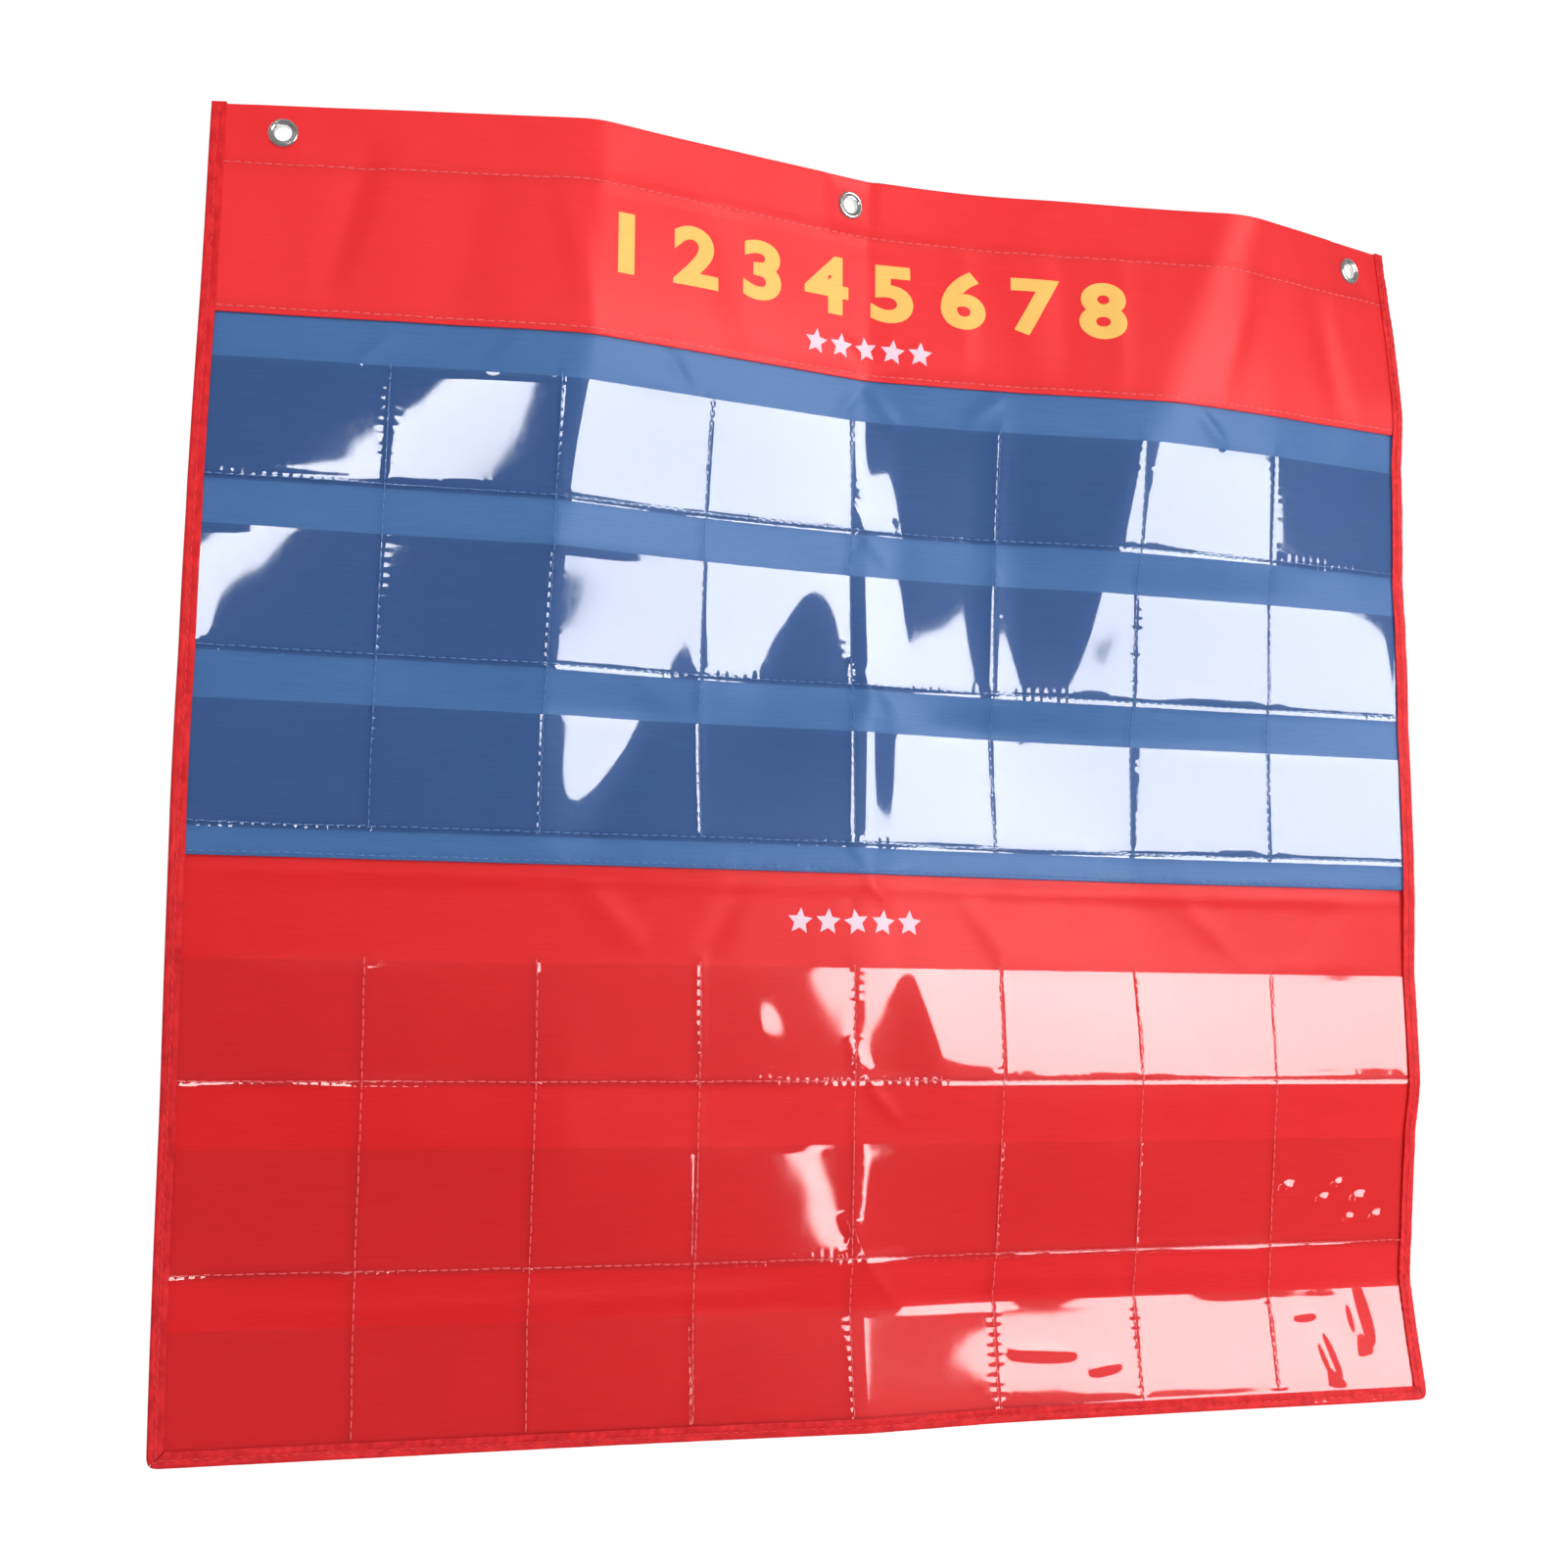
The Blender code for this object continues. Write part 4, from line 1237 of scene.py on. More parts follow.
class Workshop:
    """Makes thin sheets, turned metal and stitches, and hangs them on the drape."""

    ring_radius = 0.006

    def __init__(self, sizes: ChartSizes, drape: Drape, seams: SeamPlan) -> None:
        """Keeps what every piece needs.

        Args:
            sizes: The flat chart's sizes.
            drape: The surface that the pieces hang on.
            seams: Where the stitches run.
        """
        self.sizes = sizes
        self.drape = drape
        self.seams = seams

    def mesh_object(self, name: str, points: Array, faces: Array, grain: Array) -> Object:
        """An object from points and four-cornered faces.

        Args:
            name: The object's name.
            points: One row of three for each point.
            faces: One row of four point numbers for each face.
            grain: Flat coordinates in metres for each point, kept as its UV map.

        Returns:
            The object, linked to the scene.
        """
        mesh = bpy.data.meshes.new(name)
        mesh.from_pydata(points.tolist(), [], faces.tolist())
        piece = placed(name, mesh)
        self.mark_grain(piece, grain)
        return piece

    def mark_grain(self, piece: Object, grain: Array) -> None:
        """Keeps flat coordinates in metres as a piece's UV map.

        Args:
            piece: The piece.
            grain: One pair for each of its points.
        """
        mesh = piece.data
        corners = np.empty(len(mesh.loops), np.int64)
        mesh.loops.foreach_get("vertex_index", corners)
        layer = mesh.uv_layers.new(name="grain")
        layer.data.foreach_set("uv", grain[corners].astype(np.float32).ravel())

    def face_out(self, piece: Object) -> None:
        """Turns every face of a closed piece outwards.

        Args:
            piece: The piece.
        """
        form = bmesh.new()
        form.from_mesh(piece.data)
        bmesh.ops.recalc_face_normals(form, faces=form.faces)
        form.to_mesh(piece.data)
        form.free()

    def smooth(self, piece: Object) -> None:
        """Shades a piece smooth, with its cut edges left sharp."""
        piece.data.shade_smooth()
        piece.data.set_sharp_from_angle(angle=SHARP)

    def sheet(
        self,
        name: str,
        place: Array,
        height: Array,
        carry: Array,
        lay: Lay,
        thickness: float,
    ) -> Object:
        """A thin closed sheet, still flat: a path in each section, and the sections carried along.

        Args:
            name: The piece's name.
            place: Where each point lies in its section, one row for each section.
            height: The heights of the same points.
            carry: Where each point lies along the way that the sections are carried.
            lay: Turns places, heights and carried places into flat points.
            thickness: The sheet's thickness.

        Returns:
            The flat piece.
        """
        run = np.stack([np.gradient(place, axis=1), np.gradient(height, axis=1)], axis=-1)
        run /= np.linalg.norm(run, axis=-1)[..., None]
        aside = np.stack([-run[..., 1], run[..., 0]], axis=-1) * 0.5 * thickness
        front = lay(place + aside[..., 0], height + aside[..., 1], carry)
        back = lay(place - aside[..., 0], height - aside[..., 1], carry)
        rows, columns = place.shape
        steps = [np.diff(part, axis=1, prepend=part[:, :1]) for part in (place, height)]
        length = np.cumsum(np.hypot(*steps), axis=1)
        grain = np.stack([carry, length + place[:, :1]], axis=-1).reshape(-1, 2)
        number = np.arange(rows * columns).reshape(rows, columns)
        other = number + rows * columns
        rims = [np.stack([number[:, end], other[:, end]]) for end in (0, -1)]
        rims += [np.stack([number[end], other[end]]) for end in (0, -1)]
        faces = np.concatenate([cells(number), cells(other)] + [cells(rim) for rim in rims])
        points = np.concatenate([front.reshape(-1, 3), back.reshape(-1, 3)])
        piece = self.mesh_object(name, points, faces, np.concatenate([grain, grain]))
        self.face_out(piece)
        return piece

    def panel(self, name: str, path: Array, spacing: float) -> Object:
        """A cloth panel, still flat, with the same section all the way across.

        Args:
            name: The piece's name.
            path: The section's points (down, height).
            spacing: From one section to the next.

        Returns:
            The flat piece.
        """
        across = even_steps(-self.sizes.layer_edge, self.sizes.layer_edge, spacing)
        place, height = (np.repeat(path[None, :, axis], len(across), axis=0) for axis in (0, 1))
        carry = np.repeat(across[:, None], len(path), axis=1)
        return self.sheet(name, place, height, carry, carried_across, self.sizes.cloth)

    def mark_seam_pull_and_shade(self, piece: Object) -> None:
        """Notes on each point how near a seam it lies, for the finish's pucker bump and its painted shade
        beside the seams.

        Args:
            piece: The piece, still flat.
        """
        flat = self.flat_points(piece)
        pull = piece.data.attributes.new("pull", "FLOAT", "POINT")
        pull.data.foreach_set("value", self.seams.nearness(flat[:, 0], flat[:, 2]).astype(np.float32))

    def flat_points(self, piece: Object) -> Array:
        """The points of a piece that is still flat.

        Args:
            piece: The piece.

        Returns:
            One row of three for each point.
        """
        count = len(piece.data.vertices)
        points = np.empty(count * 3, np.float32)
        piece.data.vertices.foreach_get("co", points)
        return points.reshape(count, 3).astype(np.float64)

    def hang(self, piece: Object) -> None:
        """Lays a flat piece on the drape.

        Args:
            piece: The piece.
        """
        draped = self.drape.hang(self.flat_points(piece))
        piece.data.vertices.foreach_set("co", draped.astype(np.float32).ravel())
        piece.data.update()
        self.face_out(piece)
        self.smooth(piece)

    def turned(self, name: str, outline: list[Pair], place: float, steps: int = 72) -> Object:
        """A metal ring turned from a closed outline and set on the cloth.

        Args:
            name: The piece's name.
            outline: Points (radius, height above the back of the hem).
            place: Where the eyelet sits across the chart.
            steps: Faces round the ring.

        Returns:
            The ring.
        """
        point, facing, sideways = self.drape.eyelet_frame(place)
        upward = np.cross(facing, sideways)
        turns = 2 * math.pi * np.arange(steps) / steps
        radius, height = np.array(outline).T
        spokes = np.cos(turns)[:, None, None] * sideways + np.sin(turns)[:, None, None] * upward
        points = point - self.drape.origin + radius[None, :, None] * spokes + height[None, :, None] * facing
        number = np.arange(steps * len(outline)).reshape(steps, len(outline))
        number = np.concatenate([number, number[:1]])
        number = np.concatenate([number, number[:, :1]], axis=1)
        girth = np.cumsum(np.hypot(np.diff(radius, prepend=radius[0]), np.diff(height, prepend=height[0])))
        round_way = turns[:, None] * self.ring_radius
        grain = np.stack(np.broadcast_arrays(round_way, girth[None, :]), axis=-1).reshape(-1, 2)
        ring = self.mesh_object(name, points.reshape(-1, 3), cells(number), grain)
        self.face_out(ring)
        self.smooth(ring)
        return ring

    def dress(self, piece: Object, material: Material, slot: str, *nodes: str) -> Object:
        """Gives a piece its finish and its place in the part.

        Args:
            piece: The piece.
            material: Its material.
            slot: The record's material slot; not used.
            nodes: Solids that it stands for.

        Returns:
            The same piece.
        """
        piece.data.materials.append(material)
        if nodes:
            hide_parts(*nodes)
        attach(piece, BODY)
        log.info("%s: %d faces", piece.name, len(piece.data.polygons))
        return piece


@dataclass
class Stitching:
    """Rows of lockstitch in one thread, whose stitches rise from a hole, lie on the cloth and dive."""

    shop: Workshop
    thread: Material
    slot: str
    radius: float = 0.00030
    shown_share: float = 0.80
    sides: int = 6
    wander: float = 0.00025
    twist_length: float = 0.004
    along: tuple[float, ...] = (0.0, 0.10, 0.28, 0.5, 0.72, 0.90, 1.0)
    girth: tuple[float, ...] = (0.45, 0.85, 1.0, 1.0, 1.0, 0.85, 0.45)
    arch: tuple[float, ...] = (-1.2, 0.0, 0.75, 0.95, 0.75, 0.0, -1.2)

    def places(self, lines: list[SeamLine]) -> tuple[Array, Array, Array]:
        """Where the stitches of some rows lie.

        Args:
            lines: The rows.

        Returns:
            Each stitch's start, its direction and its length, over the flat chart.
        """
        starts, ways, spans = [], [], []
        slack = Ripple(11)
        for line in lines:
            run = np.array(line.end) - np.array(line.start)
            length = float(np.hypot(*run))
            count = max(1, round(length / line.pitch))
            first = np.arange(count)
            beat = (first * 0.83 + 40 * line.start[0], np.full(count, 90 * line.start[1]))
            shift = self.wander * slack.at(*beat)[:, None] * run[::-1] / length
            hidden = 0.5 * (1 - self.shown_share)
            starts.append(np.array(line.start) + (first[:, None] + hidden) * run / count + shift)
            ways.append(np.repeat((run / length)[None], count, axis=0))
            spans.append(np.full(count, self.shown_share * length / count))
        return np.concatenate(starts), np.concatenate(ways), np.concatenate(spans)

    def faces(self, stitches: int) -> Array:
        """The faces of all stitches: walls round each, and a cap at either end.

        Args:
            stitches: How many there are.

        Returns:
            One row of four point numbers for each face.
        """
        sides, rings = self.sides, len(self.along)
        ring = np.arange(rings * sides).reshape(rings, sides)
        ring = np.concatenate([ring, ring[:, :1]], axis=1)
        ends = (0, (rings - 1) * sides)
        caps = [[end, end + 1, end + 2, end + 5] for end in ends]
        caps += [[end + 2, end + 3, end + 4, end + 5] for end in ends]
        one = np.concatenate([cells(ring), np.array(caps)])
        return (one[None] + (np.arange(stitches) * rings * sides)[:, None, None]).reshape(-1, 4)

    def rows(self, name: str, lines: list[SeamLine], front: Surface, back: Surface) -> Object:
        """All stitches of some rows, on the front and on the back.

        Args:
            name: The piece's name.
            lines: The rows.
            front: Height of the front surface at places across and down.
            back: Height of the back surface at the same places.

        Returns:
            The thread.
        """
        start, way, span = self.places(lines)
        middle = start + 0.5 * span[:, None] * way
        along, girth, arch = np.array(self.along), *(self.radius * np.array((self.girth, self.arch)))
        turns = 2 * math.pi * np.arange(self.sides) / self.sides
        cross = np.stack([-way[:, 1], way[:, 0]], axis=1)
        core = start[:, None, None] + (along * span[:, None])[:, :, None, None] * way[:, None, None]
        aside = (girth[:, None] * np.cos(turns))[None, :, :, None] * cross[:, None, None]
        flat = core + aside
        forms = []
        for surface, lift in ((front, 1.0), (back, -1.0)):
            rise = lift * (arch[:, None] + girth[:, None] * np.sin(turns))
            height = surface(middle[:, 0], middle[:, 1])[:, None, None] + rise[None]
            forms.append(np.stack([flat[..., 0], height, flat[..., 1]], axis=-1))
        points = np.concatenate(forms)
        twist = np.broadcast_arrays(along[:, None] * self.twist_length, turns[None] * self.radius)
        grain = np.broadcast_to(np.stack(twist, axis=-1), (*points.shape[:3], 2)).reshape(-1, 2)
        piece = self.shop.mesh_object(name, points.reshape(-1, 3), self.faces(len(points)), grain)
        self.shop.hang(piece)
        return self.shop.dress(piece, self.thread, self.slot)


@dataclass
class HeaderPanel:
    """The red header: a hem folded behind its top edge and a hem turned under its foot."""

    shop: Workshop
    cloth: NylonFinish
    thread: ThreadFinish
    slot: str = "header_cloth"
    spacing: float = 0.0026
    hole: float = 0.0049
    hole_sides: int = 48
    cutter_depth: float = 0.01

    def path(self) -> Array:
        """The panel's section.

        Returns:
            Points (down, height).
        """
        sizes = self.shop.sizes
        middle = 0.5 * sizes.cloth
        hem = [(down, middle) for down in even_steps(sizes.top_hem, 2 * sizes.step, self.spacing)]
        top = half_turn(0.0, middle, sizes.step + middle, -1, sizes.cloth)
        levels = even_steps(2 * sizes.step, sizes.header - 2 * sizes.step, self.spacing)
        face = [(down, float(sizes.header_back(down)) + middle) for down in levels]
        foot = half_turn(sizes.header, 2 * sizes.step + middle, sizes.step + middle, 1, sizes.cloth)
        levels = even_steps(sizes.header - 2 * sizes.step, sizes.header - sizes.hem, self.spacing)
        under = [(down, sizes.step + middle) for down in levels]
        return np.array(hem + top + face + foot + under)

    def cut_holes(self, panel: Object) -> None:
        """Cuts the three round holes through the flat hem.

        Args:
            panel: The header, still flat.
        """
        sizes = self.shop.sizes
        cutters = []
        for place in sizes.eyelets.values():
            form = bmesh.new()
            spot = Matrix.Translation((place, 0.0, sizes.eyelet_drop))
            bmesh.ops.create_cone(
                form,
                cap_ends=True,
                segments=self.hole_sides,
                radius1=self.hole,
                radius2=self.hole,
                depth=self.cutter_depth,
                matrix=spot @ Matrix.Rotation(0.5 * math.pi, 4, "X"),
            )
            cutter = placed_form("hole", form)
            cutters.append(cutter)
            cut = panel.modifiers.new("hole", "BOOLEAN")
            cut.operation = "DIFFERENCE"
            cut.object = cutter
        bpy.context.view_layer.update()
        mesh = bpy.data.meshes.new_from_object(panel.evaluated_get(bpy.context.evaluated_depsgraph_get()))
        panel.modifiers.clear()
        panel.data = mesh
        for cutter in cutters:
            bpy.data.objects.remove(cutter)

    def build(self) -> Object:
        """Makes the panel and its two rows of stitches.

        Returns:
            The panel.
        """
        shop, sizes = self.shop, self.shop.sizes
        panel = shop.panel("header_nylon", self.path(), self.spacing)
        self.cut_holes(panel)
        shop.mark_seam_pull_and_shade(panel)
        shop.hang(panel)
        shop.dress(panel, self.cloth.make(), self.slot, "header_panel")
        stitching = Stitching(shop, self.thread.make(), self.slot)
        front = at_height(2 * sizes.step + sizes.cloth)

        def over_hem(across: Array, down: Array) -> Array:
            """The header's front over its top hem."""
            return sizes.header_back(down) + sizes.cloth

        top = stitching.rows("header_hem_stitches", shop.seams.top_hem, over_hem, at_height(0.0))
        foot = stitching.rows("header_foot_stitches", shop.seams.header_foot, front, at_height(0.0))
        return panel


@dataclass
class PocketPanel:
    """A cloth panel that carries three strips of pockets."""

    shop: Workshop
    panel: Panel
    cloth: NylonFinish
    thread: ThreadFinish
    slot: str
    spacing: float = 0.0026

    def path(self) -> Array:
        """The panel's section.

        Returns:
            Points (down, height).
        """
        sizes = self.shop.sizes
        middle = 0.5 * sizes.cloth
        if self.panel is Panel.LOWER:
            levels = even_steps(sizes.upper_end - sizes.overlap, sizes.layer_end, self.spacing)
            return np.array([(down, middle) for down in levels])
        levels = even_steps(sizes.upper_top, sizes.upper_end - 2 * sizes.step, self.spacing)
        face = [(down, float(sizes.upper_back(down)) + middle) for down in levels]
        foot = half_turn(sizes.upper_end, 2 * sizes.step + middle, sizes.step + middle, 1, sizes.cloth)
        levels = even_steps(sizes.upper_end - 2 * sizes.step, sizes.upper_end - sizes.hem, self.spacing)
        under = [(down, sizes.step + middle) for down in levels]
        return np.array(face + foot + under)

    def back_of_seam(self, across: Array, down: Array) -> Array:
        """The back of the panel, along a pocket seam."""
        return self.shop.sizes.panel_back(self.panel, down)

    def front_of_seam(self, across: Array, down: Array) -> Array:
        """The front that a pocket seam lies on: vinyl over a pocket, cloth between.

        Args:
            across: Places across.
            down: Distances down.

        Returns:
            One height for each place.
        """
        sizes = self.shop.sizes
        front = sizes.panel_back(self.panel, down) + sizes.cloth
        over_vinyl = sizes.vinyl_step - PocketStrip.press
        for mouth in sizes.rows(self.panel):
            foot = mouth + sizes.pocket_depth(self.panel) + sizes.seam_margin
            front = np.where((down > mouth) & (down < foot), front + over_vinyl, front)
        return front

    def build(self) -> Object:
        """Makes the panel and its pocket seams.

        Returns:
            The panel.
        """
        shop, sizes = self.shop, self.shop.sizes
        name = self.panel.value
        panel = shop.panel(f"{name}_nylon", self.path(), self.spacing)
        shop.mark_seam_pull_and_shade(panel)
        shop.hang(panel)
        shop.dress(panel, self.cloth.make(), self.slot, f"{name}_panel")
        stitching = Stitching(shop, self.thread.make(), self.slot)
        lines = shop.seams.pockets(self.panel)
        made = [stitching.rows(f"{name}_pocket_stitches", lines, self.front_of_seam, self.back_of_seam)]
        if self.panel is Panel.UPPER:
            front = at_height(2 * sizes.step + sizes.cloth)
            made.append(stitching.rows("upper_foot_stitches", shop.seams.upper_foot, front, at_height(0.0)))
        return panel


@dataclass(frozen=True)
class PocketShape:
    """How one pocket's clear front stands off the cloth, in millimetres at its mouth."""

    swell: float = 0.4
    lean: float = 0.0
    gape: float = 0.0


@dataclass
class PocketStrip:
    """One clear strip with eight pockets: open along its mouth, held down along its seams."""

    shop: Workshop
    panel: Panel
    number: int
    shapes: tuple[PocketShape, ...]
    dents: tuple[Wrinkle, ...] = ()
    press = 0.00008
    press_reach = 0.0032
    rest_stand = 0.00007
    free_reach = 0.0055
    waves = ((0.00007, (0.036, 0.033), (0, 0)), (0.00002, (0.015, 0.017), (9, 5)))
    groove = 0.00006
    groove_reach = 0.0010
    hole = 0.00015
    pucker = 0.00026
    pucker_reach = 0.0032
    flat_reach = 0.0017
    margin_rise = 0.11
    fine_reach = 0.003
    steps_across = (0.0006, 0.00125)
    steps_down = (0.0006, 0.0010)

    @property
    def mouth(self) -> float:
        """The strip's free top edge."""
        return self.shop.sizes.rows(self.panel)[self.number]

    @property
    def seam(self) -> float:
        """The line along which its foot is held."""
        return self.shop.sizes.feet(self.panel)[self.number]

    @property
    def end(self) -> float:
        """The strip's lower cut edge. The last strip ends inside the bottom binding."""
        sizes = self.shop.sizes
        return sizes.layer_end if self.seam == sizes.binding_top else self.seam + sizes.seam_margin

    def lift(self, across: Array, down: Array) -> Array:
        """How far the strip stands off its flat layer.

        Args:
            across: Places across.
            down: Distances down.

        Returns:
            One height for each place, below the layer where negative.
        """
        edges = np.array(self.shop.sizes.pocket_edges)
        column = np.clip(np.searchsorted(edges, across, side="right") - 1, 0, len(edges) - 2)
        width = edges[column + 1] - edges[column]
        over = np.clip((across - edges[column]) / width, 0, 1)
        share = np.clip((down - self.mouth) / (self.seam - self.mouth), 0, 1)
        swell, lean, gape = (MILLIMETRE * np.array(kind)[column] for kind in zip(*map(astuple, self.shapes)))
        side = np.minimum(over, 1 - over) * width
        near = np.minimum(side, np.maximum(self.seam - down, 0))
        free = 1 - np.exp(-((near / self.free_reach) ** 2))
        wave = self.wave()
        (slow, *slow_way), (fast, *fast_way) = self.waves
        waves = slow * wave.over(across, down, *slow_way) + fast * wave.over(across, down, *fast_way)
        tilt = np.abs(lean) + lean * (2 * over - 1) + gape * (1 - share)
        swollen = swell * np.sin(math.pi * over) * (1 - share) ** 1.3
        stand = swollen + free * (tilt + waves + self.rest_stand)
        held = np.exp(-((near / self.press_reach) ** 2))
        margin = self.margin_rise * np.clip(down - self.seam, 0, None)
        dents = sum((dent.depth(across, down - self.mouth) for dent in self.dents), np.zeros_like(across))
        return stand - self.press * held - self.pulled(across, down) + margin - free * dents

    def wave(self) -> Ripple:
        """The strip's own unevenness."""
        return Ripple(30 + self.number + (10 if self.panel is Panel.LOWER else 0))

    def pulled(self, across: Array, down: Array) -> Array:
        """How far the stitches pull the strip in, with small puckers beside them.

        Args:
            across: Places across.
            down: Distances down.

        Returns:
            One depth for each place, below 0 where the vinyl puckers up.
        """
        wave = self.wave().over(across, down, (0.007, 0.007), (3, 7))
        uneven = np.clip(0.40 + 0.75 * wave, 0.0, 1.3)
        pulled = np.zeros_like(across)
        for line in self.shop.seams.pockets(self.panel):
            holes = line.needle_holes(across, down)
            core = line.nearness(across, down, self.groove_reach)
            beside = line.nearness(across, down, self.pucker_reach)
            beside = beside * (1 - line.nearness(across, down, self.flat_reach))
            puckers = self.pucker * (1 - holes) * uneven * beside
            pulled = pulled + (self.groove + self.hole * holes) * core - puckers
        return pulled

    def build(self, vinyl: Material) -> Object:
        """Makes the strip.

        Args:
            vinyl: The material that all strips share.

        Returns:
            The strip.
        """
        shop, sizes = self.shop, self.shop.sizes
        edge, panel = sizes.layer_edge, self.panel.value
        across = graded_steps(-edge, edge, sizes.pocket_edges, self.fine_reach, self.steps_across)
        down = graded_steps(self.mouth, self.end, (self.seam,), self.fine_reach, self.steps_down)
        carry, place = np.meshgrid(across, down, indexing="ij")
        rest = sizes.panel_back(self.panel, place) + sizes.cloth + sizes.gap + 0.5 * sizes.vinyl
        height = rest + self.lift(carry.ravel(), place.ravel()).reshape(carry.shape)
        name = f"{panel}_clear_strip_{self.number + 1}"
        strip = shop.sheet(name, place, height, carry, carried_across, sizes.vinyl)
        shop.hang(strip)
        shop.dress(strip, vinyl, "clear_vinyl", f"{panel}_pocket_strip_{self.number + 1}")
        self.end - self.mouth
        return strip


@dataclass
class Bindings:
    """The three tapes folded round the sides and the bottom, mitred at the lower corners."""

    shop: Workshop
    tape: TapeFinish
    thread: ThreadFinish
    slot: str = "binding_tape"
    spacing: float = 0.00125
    rows: int = 12
    turn_points: int = 9
    pitch: float = 0.0050
    dip: float = 0.00018
    dip_reach: float = 0.0012
    stitch_top: float = 0.0015
    corner_inset: float = 0.0014
    corner_pitch: float = 0.0030
    sink: float = 0.00014
    fold_width: float = 0.0016

    def section(self, width: float, front: Array) -> tuple[Array, Array]:
        """The folded tape's section at each station.

        Args:
            width: The width that shows in front.
            front: The front of the layers that it holds, one height for each station.

        Returns:
            Distances from the outer edge and heights, one row for each station.
        """
        sizes = self.shop.sizes
        front_middle = front[:, None] + sizes.gap + 0.5 * sizes.tape
        back_middle = np.full_like(front_middle, -sizes.gap - 0.5 * sizes.tape)
        start = 0.5 * sizes.tape + sizes.binding_fold
        turns = np.linspace(0.5 * math.pi, -0.5 * math.pi, self.turn_points)[None]
        middle, rise = 0.5 * (front_middle + back_middle), 0.5 * (front_middle - back_middle)
        inset = np.linspace(width, start, self.rows + 1)[:-1][None]
        stations = len(front)
        place = np.concatenate([inset, start - sizes.binding_fold * np.cos(turns), inset[:, ::-1]], axis=1)
        faces = [np.repeat(middles, self.rows, axis=1) for middles in (front_middle, back_middle)]
        height = np.concatenate([faces[0], middle + rise * np.sin(turns), faces[1]], axis=1)
        return np.repeat(place, stations, axis=0), height

    def pucker(self, inset: Array, along: Array, width: float, seed: int) -> Array:
        """How the stitches draw the tape in: a dip along their line and small swells between them.

        Args:
            inset: Distances from the outer edge.
            along: Distances along the tape.
            width: The width that shows in front.
            seed: Which of the possible ripples the tape has.

        Returns:
            One height for each place.
        """
        wave = Ripple(seed)
        level = along * 0

        def near(line: float, reach: float) -> Array:
            """How near each place lies to a line along the tape."""
            return np.exp(-(((inset - line) / reach) ** 2))

        line = near(0.5 * width, self.dip_reach)
        beat = np.cos(2 * math.pi * along / self.pitch + 0.7 * wave.over(along, level, (0.03, 1)))
        strength = 0.00020 + 0.00010 * wave.over(along, level, (0.02, 1), (4, 0))
        swell = strength * beat * near(0.85 * width, 0.0030) + 0.00010 * beat * near(0.0015, 0.0016)
        loose = 0.00018 * wave.over(along, inset, (0.011, 0.004), (5, 3))
        loose = loose + 0.00008 * wave.over(along, inset, (0.004, 0.003), (11, 2))
        return swell + loose * (1 - line) - self.dip * line

    def fold_tape(
        self, name: str, section: tuple[Array, Array], carry: Array, seed: int, lay: Lay, material: Material
    ) -> Object:
        """Makes one tape of its section, with puckers on both faces.

        Args:
            name: The edge's name.
            section: Distances from the outer edge and heights, one row for each station.
            carry: Distances along the tape.
            seed: Which of the possible ripples the tape has.
            lay: Turns insets, heights and carried places into flat points.
            material: The tape's material.

        Returns:
            The tape.
        """
        place, height = section
        fronts = np.zeros(place.shape[1])
        fronts[: self.rows + 4] = 1.0
        fronts[self.rows + 5 :] = -1.0
        height = height + fronts * self.pucker(place, carry, float(place[0, 0]), seed)
        piece = self.shop.sheet(f"{name}_edge_tape", place, height, carry, lay, self.shop.sizes.tape)
        self.shop.hang(piece)
        return self.shop.dress(piece, material, self.slot, f"{name}_binding")

    def side(self, edge: Edge, material: Material) -> Object:
        """A tape folded round one side edge.

        Args:
            edge: Which edge.
            material: The tape's material.

        Returns:
            The tape.
        """
        sizes = self.shop.sizes
        top = -sizes.binding_reach
        stations = even_steps(top, sizes.height, self.spacing)
        section = self.section(sizes.side_binding, sizes.stack_front(stations))
        slant = sizes.bottom_binding / sizes.side_binding
        ends = sizes.height - slant * section[0] - sizes.mitre_clearance
        share = ((stations - top) / (sizes.height - top))[:, None]
        carry = top + share * (ends - top)

        def lay(inset: Array, tall: Array, down: Array) -> Array:
            """Flat points from distances to the outer edge."""
            return np.stack([edge.value * (sizes.half_width - inset), tall, down], axis=-1)

        return self.fold_tape(edge.name.lower(), section, carry, 21 + edge.value, lay, material)

    def bottom(self, material: Material) -> Object:
        """A tape folded round the bottom edge.

        Args:
            material: The tape's material.

        Returns:
            The tape.
        """
        sizes = self.shop.sizes
        stations = even_steps(-1.0, 1.0, self.spacing / sizes.half_width)
        front = np.full(len(stations), float(sizes.stack_front(sizes.height)))
        section = self.section(sizes.bottom_binding, front)
        slant = sizes.side_binding / sizes.bottom_binding
        carry = stations[:, None] * (sizes.half_width - slant * section[0] - sizes.mitre_clearance)

        def lay(inset: Array, tall: Array, across: Array) -> Array:
            """Flat points from distances to the bottom edge."""
            return np.stack([across, tall, sizes.height - inset], axis=-1)

        return self.fold_tape("bottom", section, carry, 29, lay, material)

    def seams(self) -> list[SeamLine]:
        """The rows of stitches that hold the tapes.

        Returns:
            One down each side, one along the bottom and a short one into each lower corner.
        """
        sizes = self.shop.sizes
        side = sizes.half_width - 0.5 * sizes.side_binding
        low = sizes.height - 0.5 * sizes.bottom_binding
        corner = (sizes.half_width - self.corner_inset, sizes.height - self.corner_inset)
        lines = [SeamLine((sign * side, self.stitch_top), (sign * side, low), self.pitch) for sign in (-1, 1)]
        lines.append(SeamLine((-side, low), (side, low), self.pitch))
        for sign in (-1, 1):
            lines.append(SeamLine((sign * side, low), (sign * corner[0], corner[1]), self.corner_pitch))
        return lines

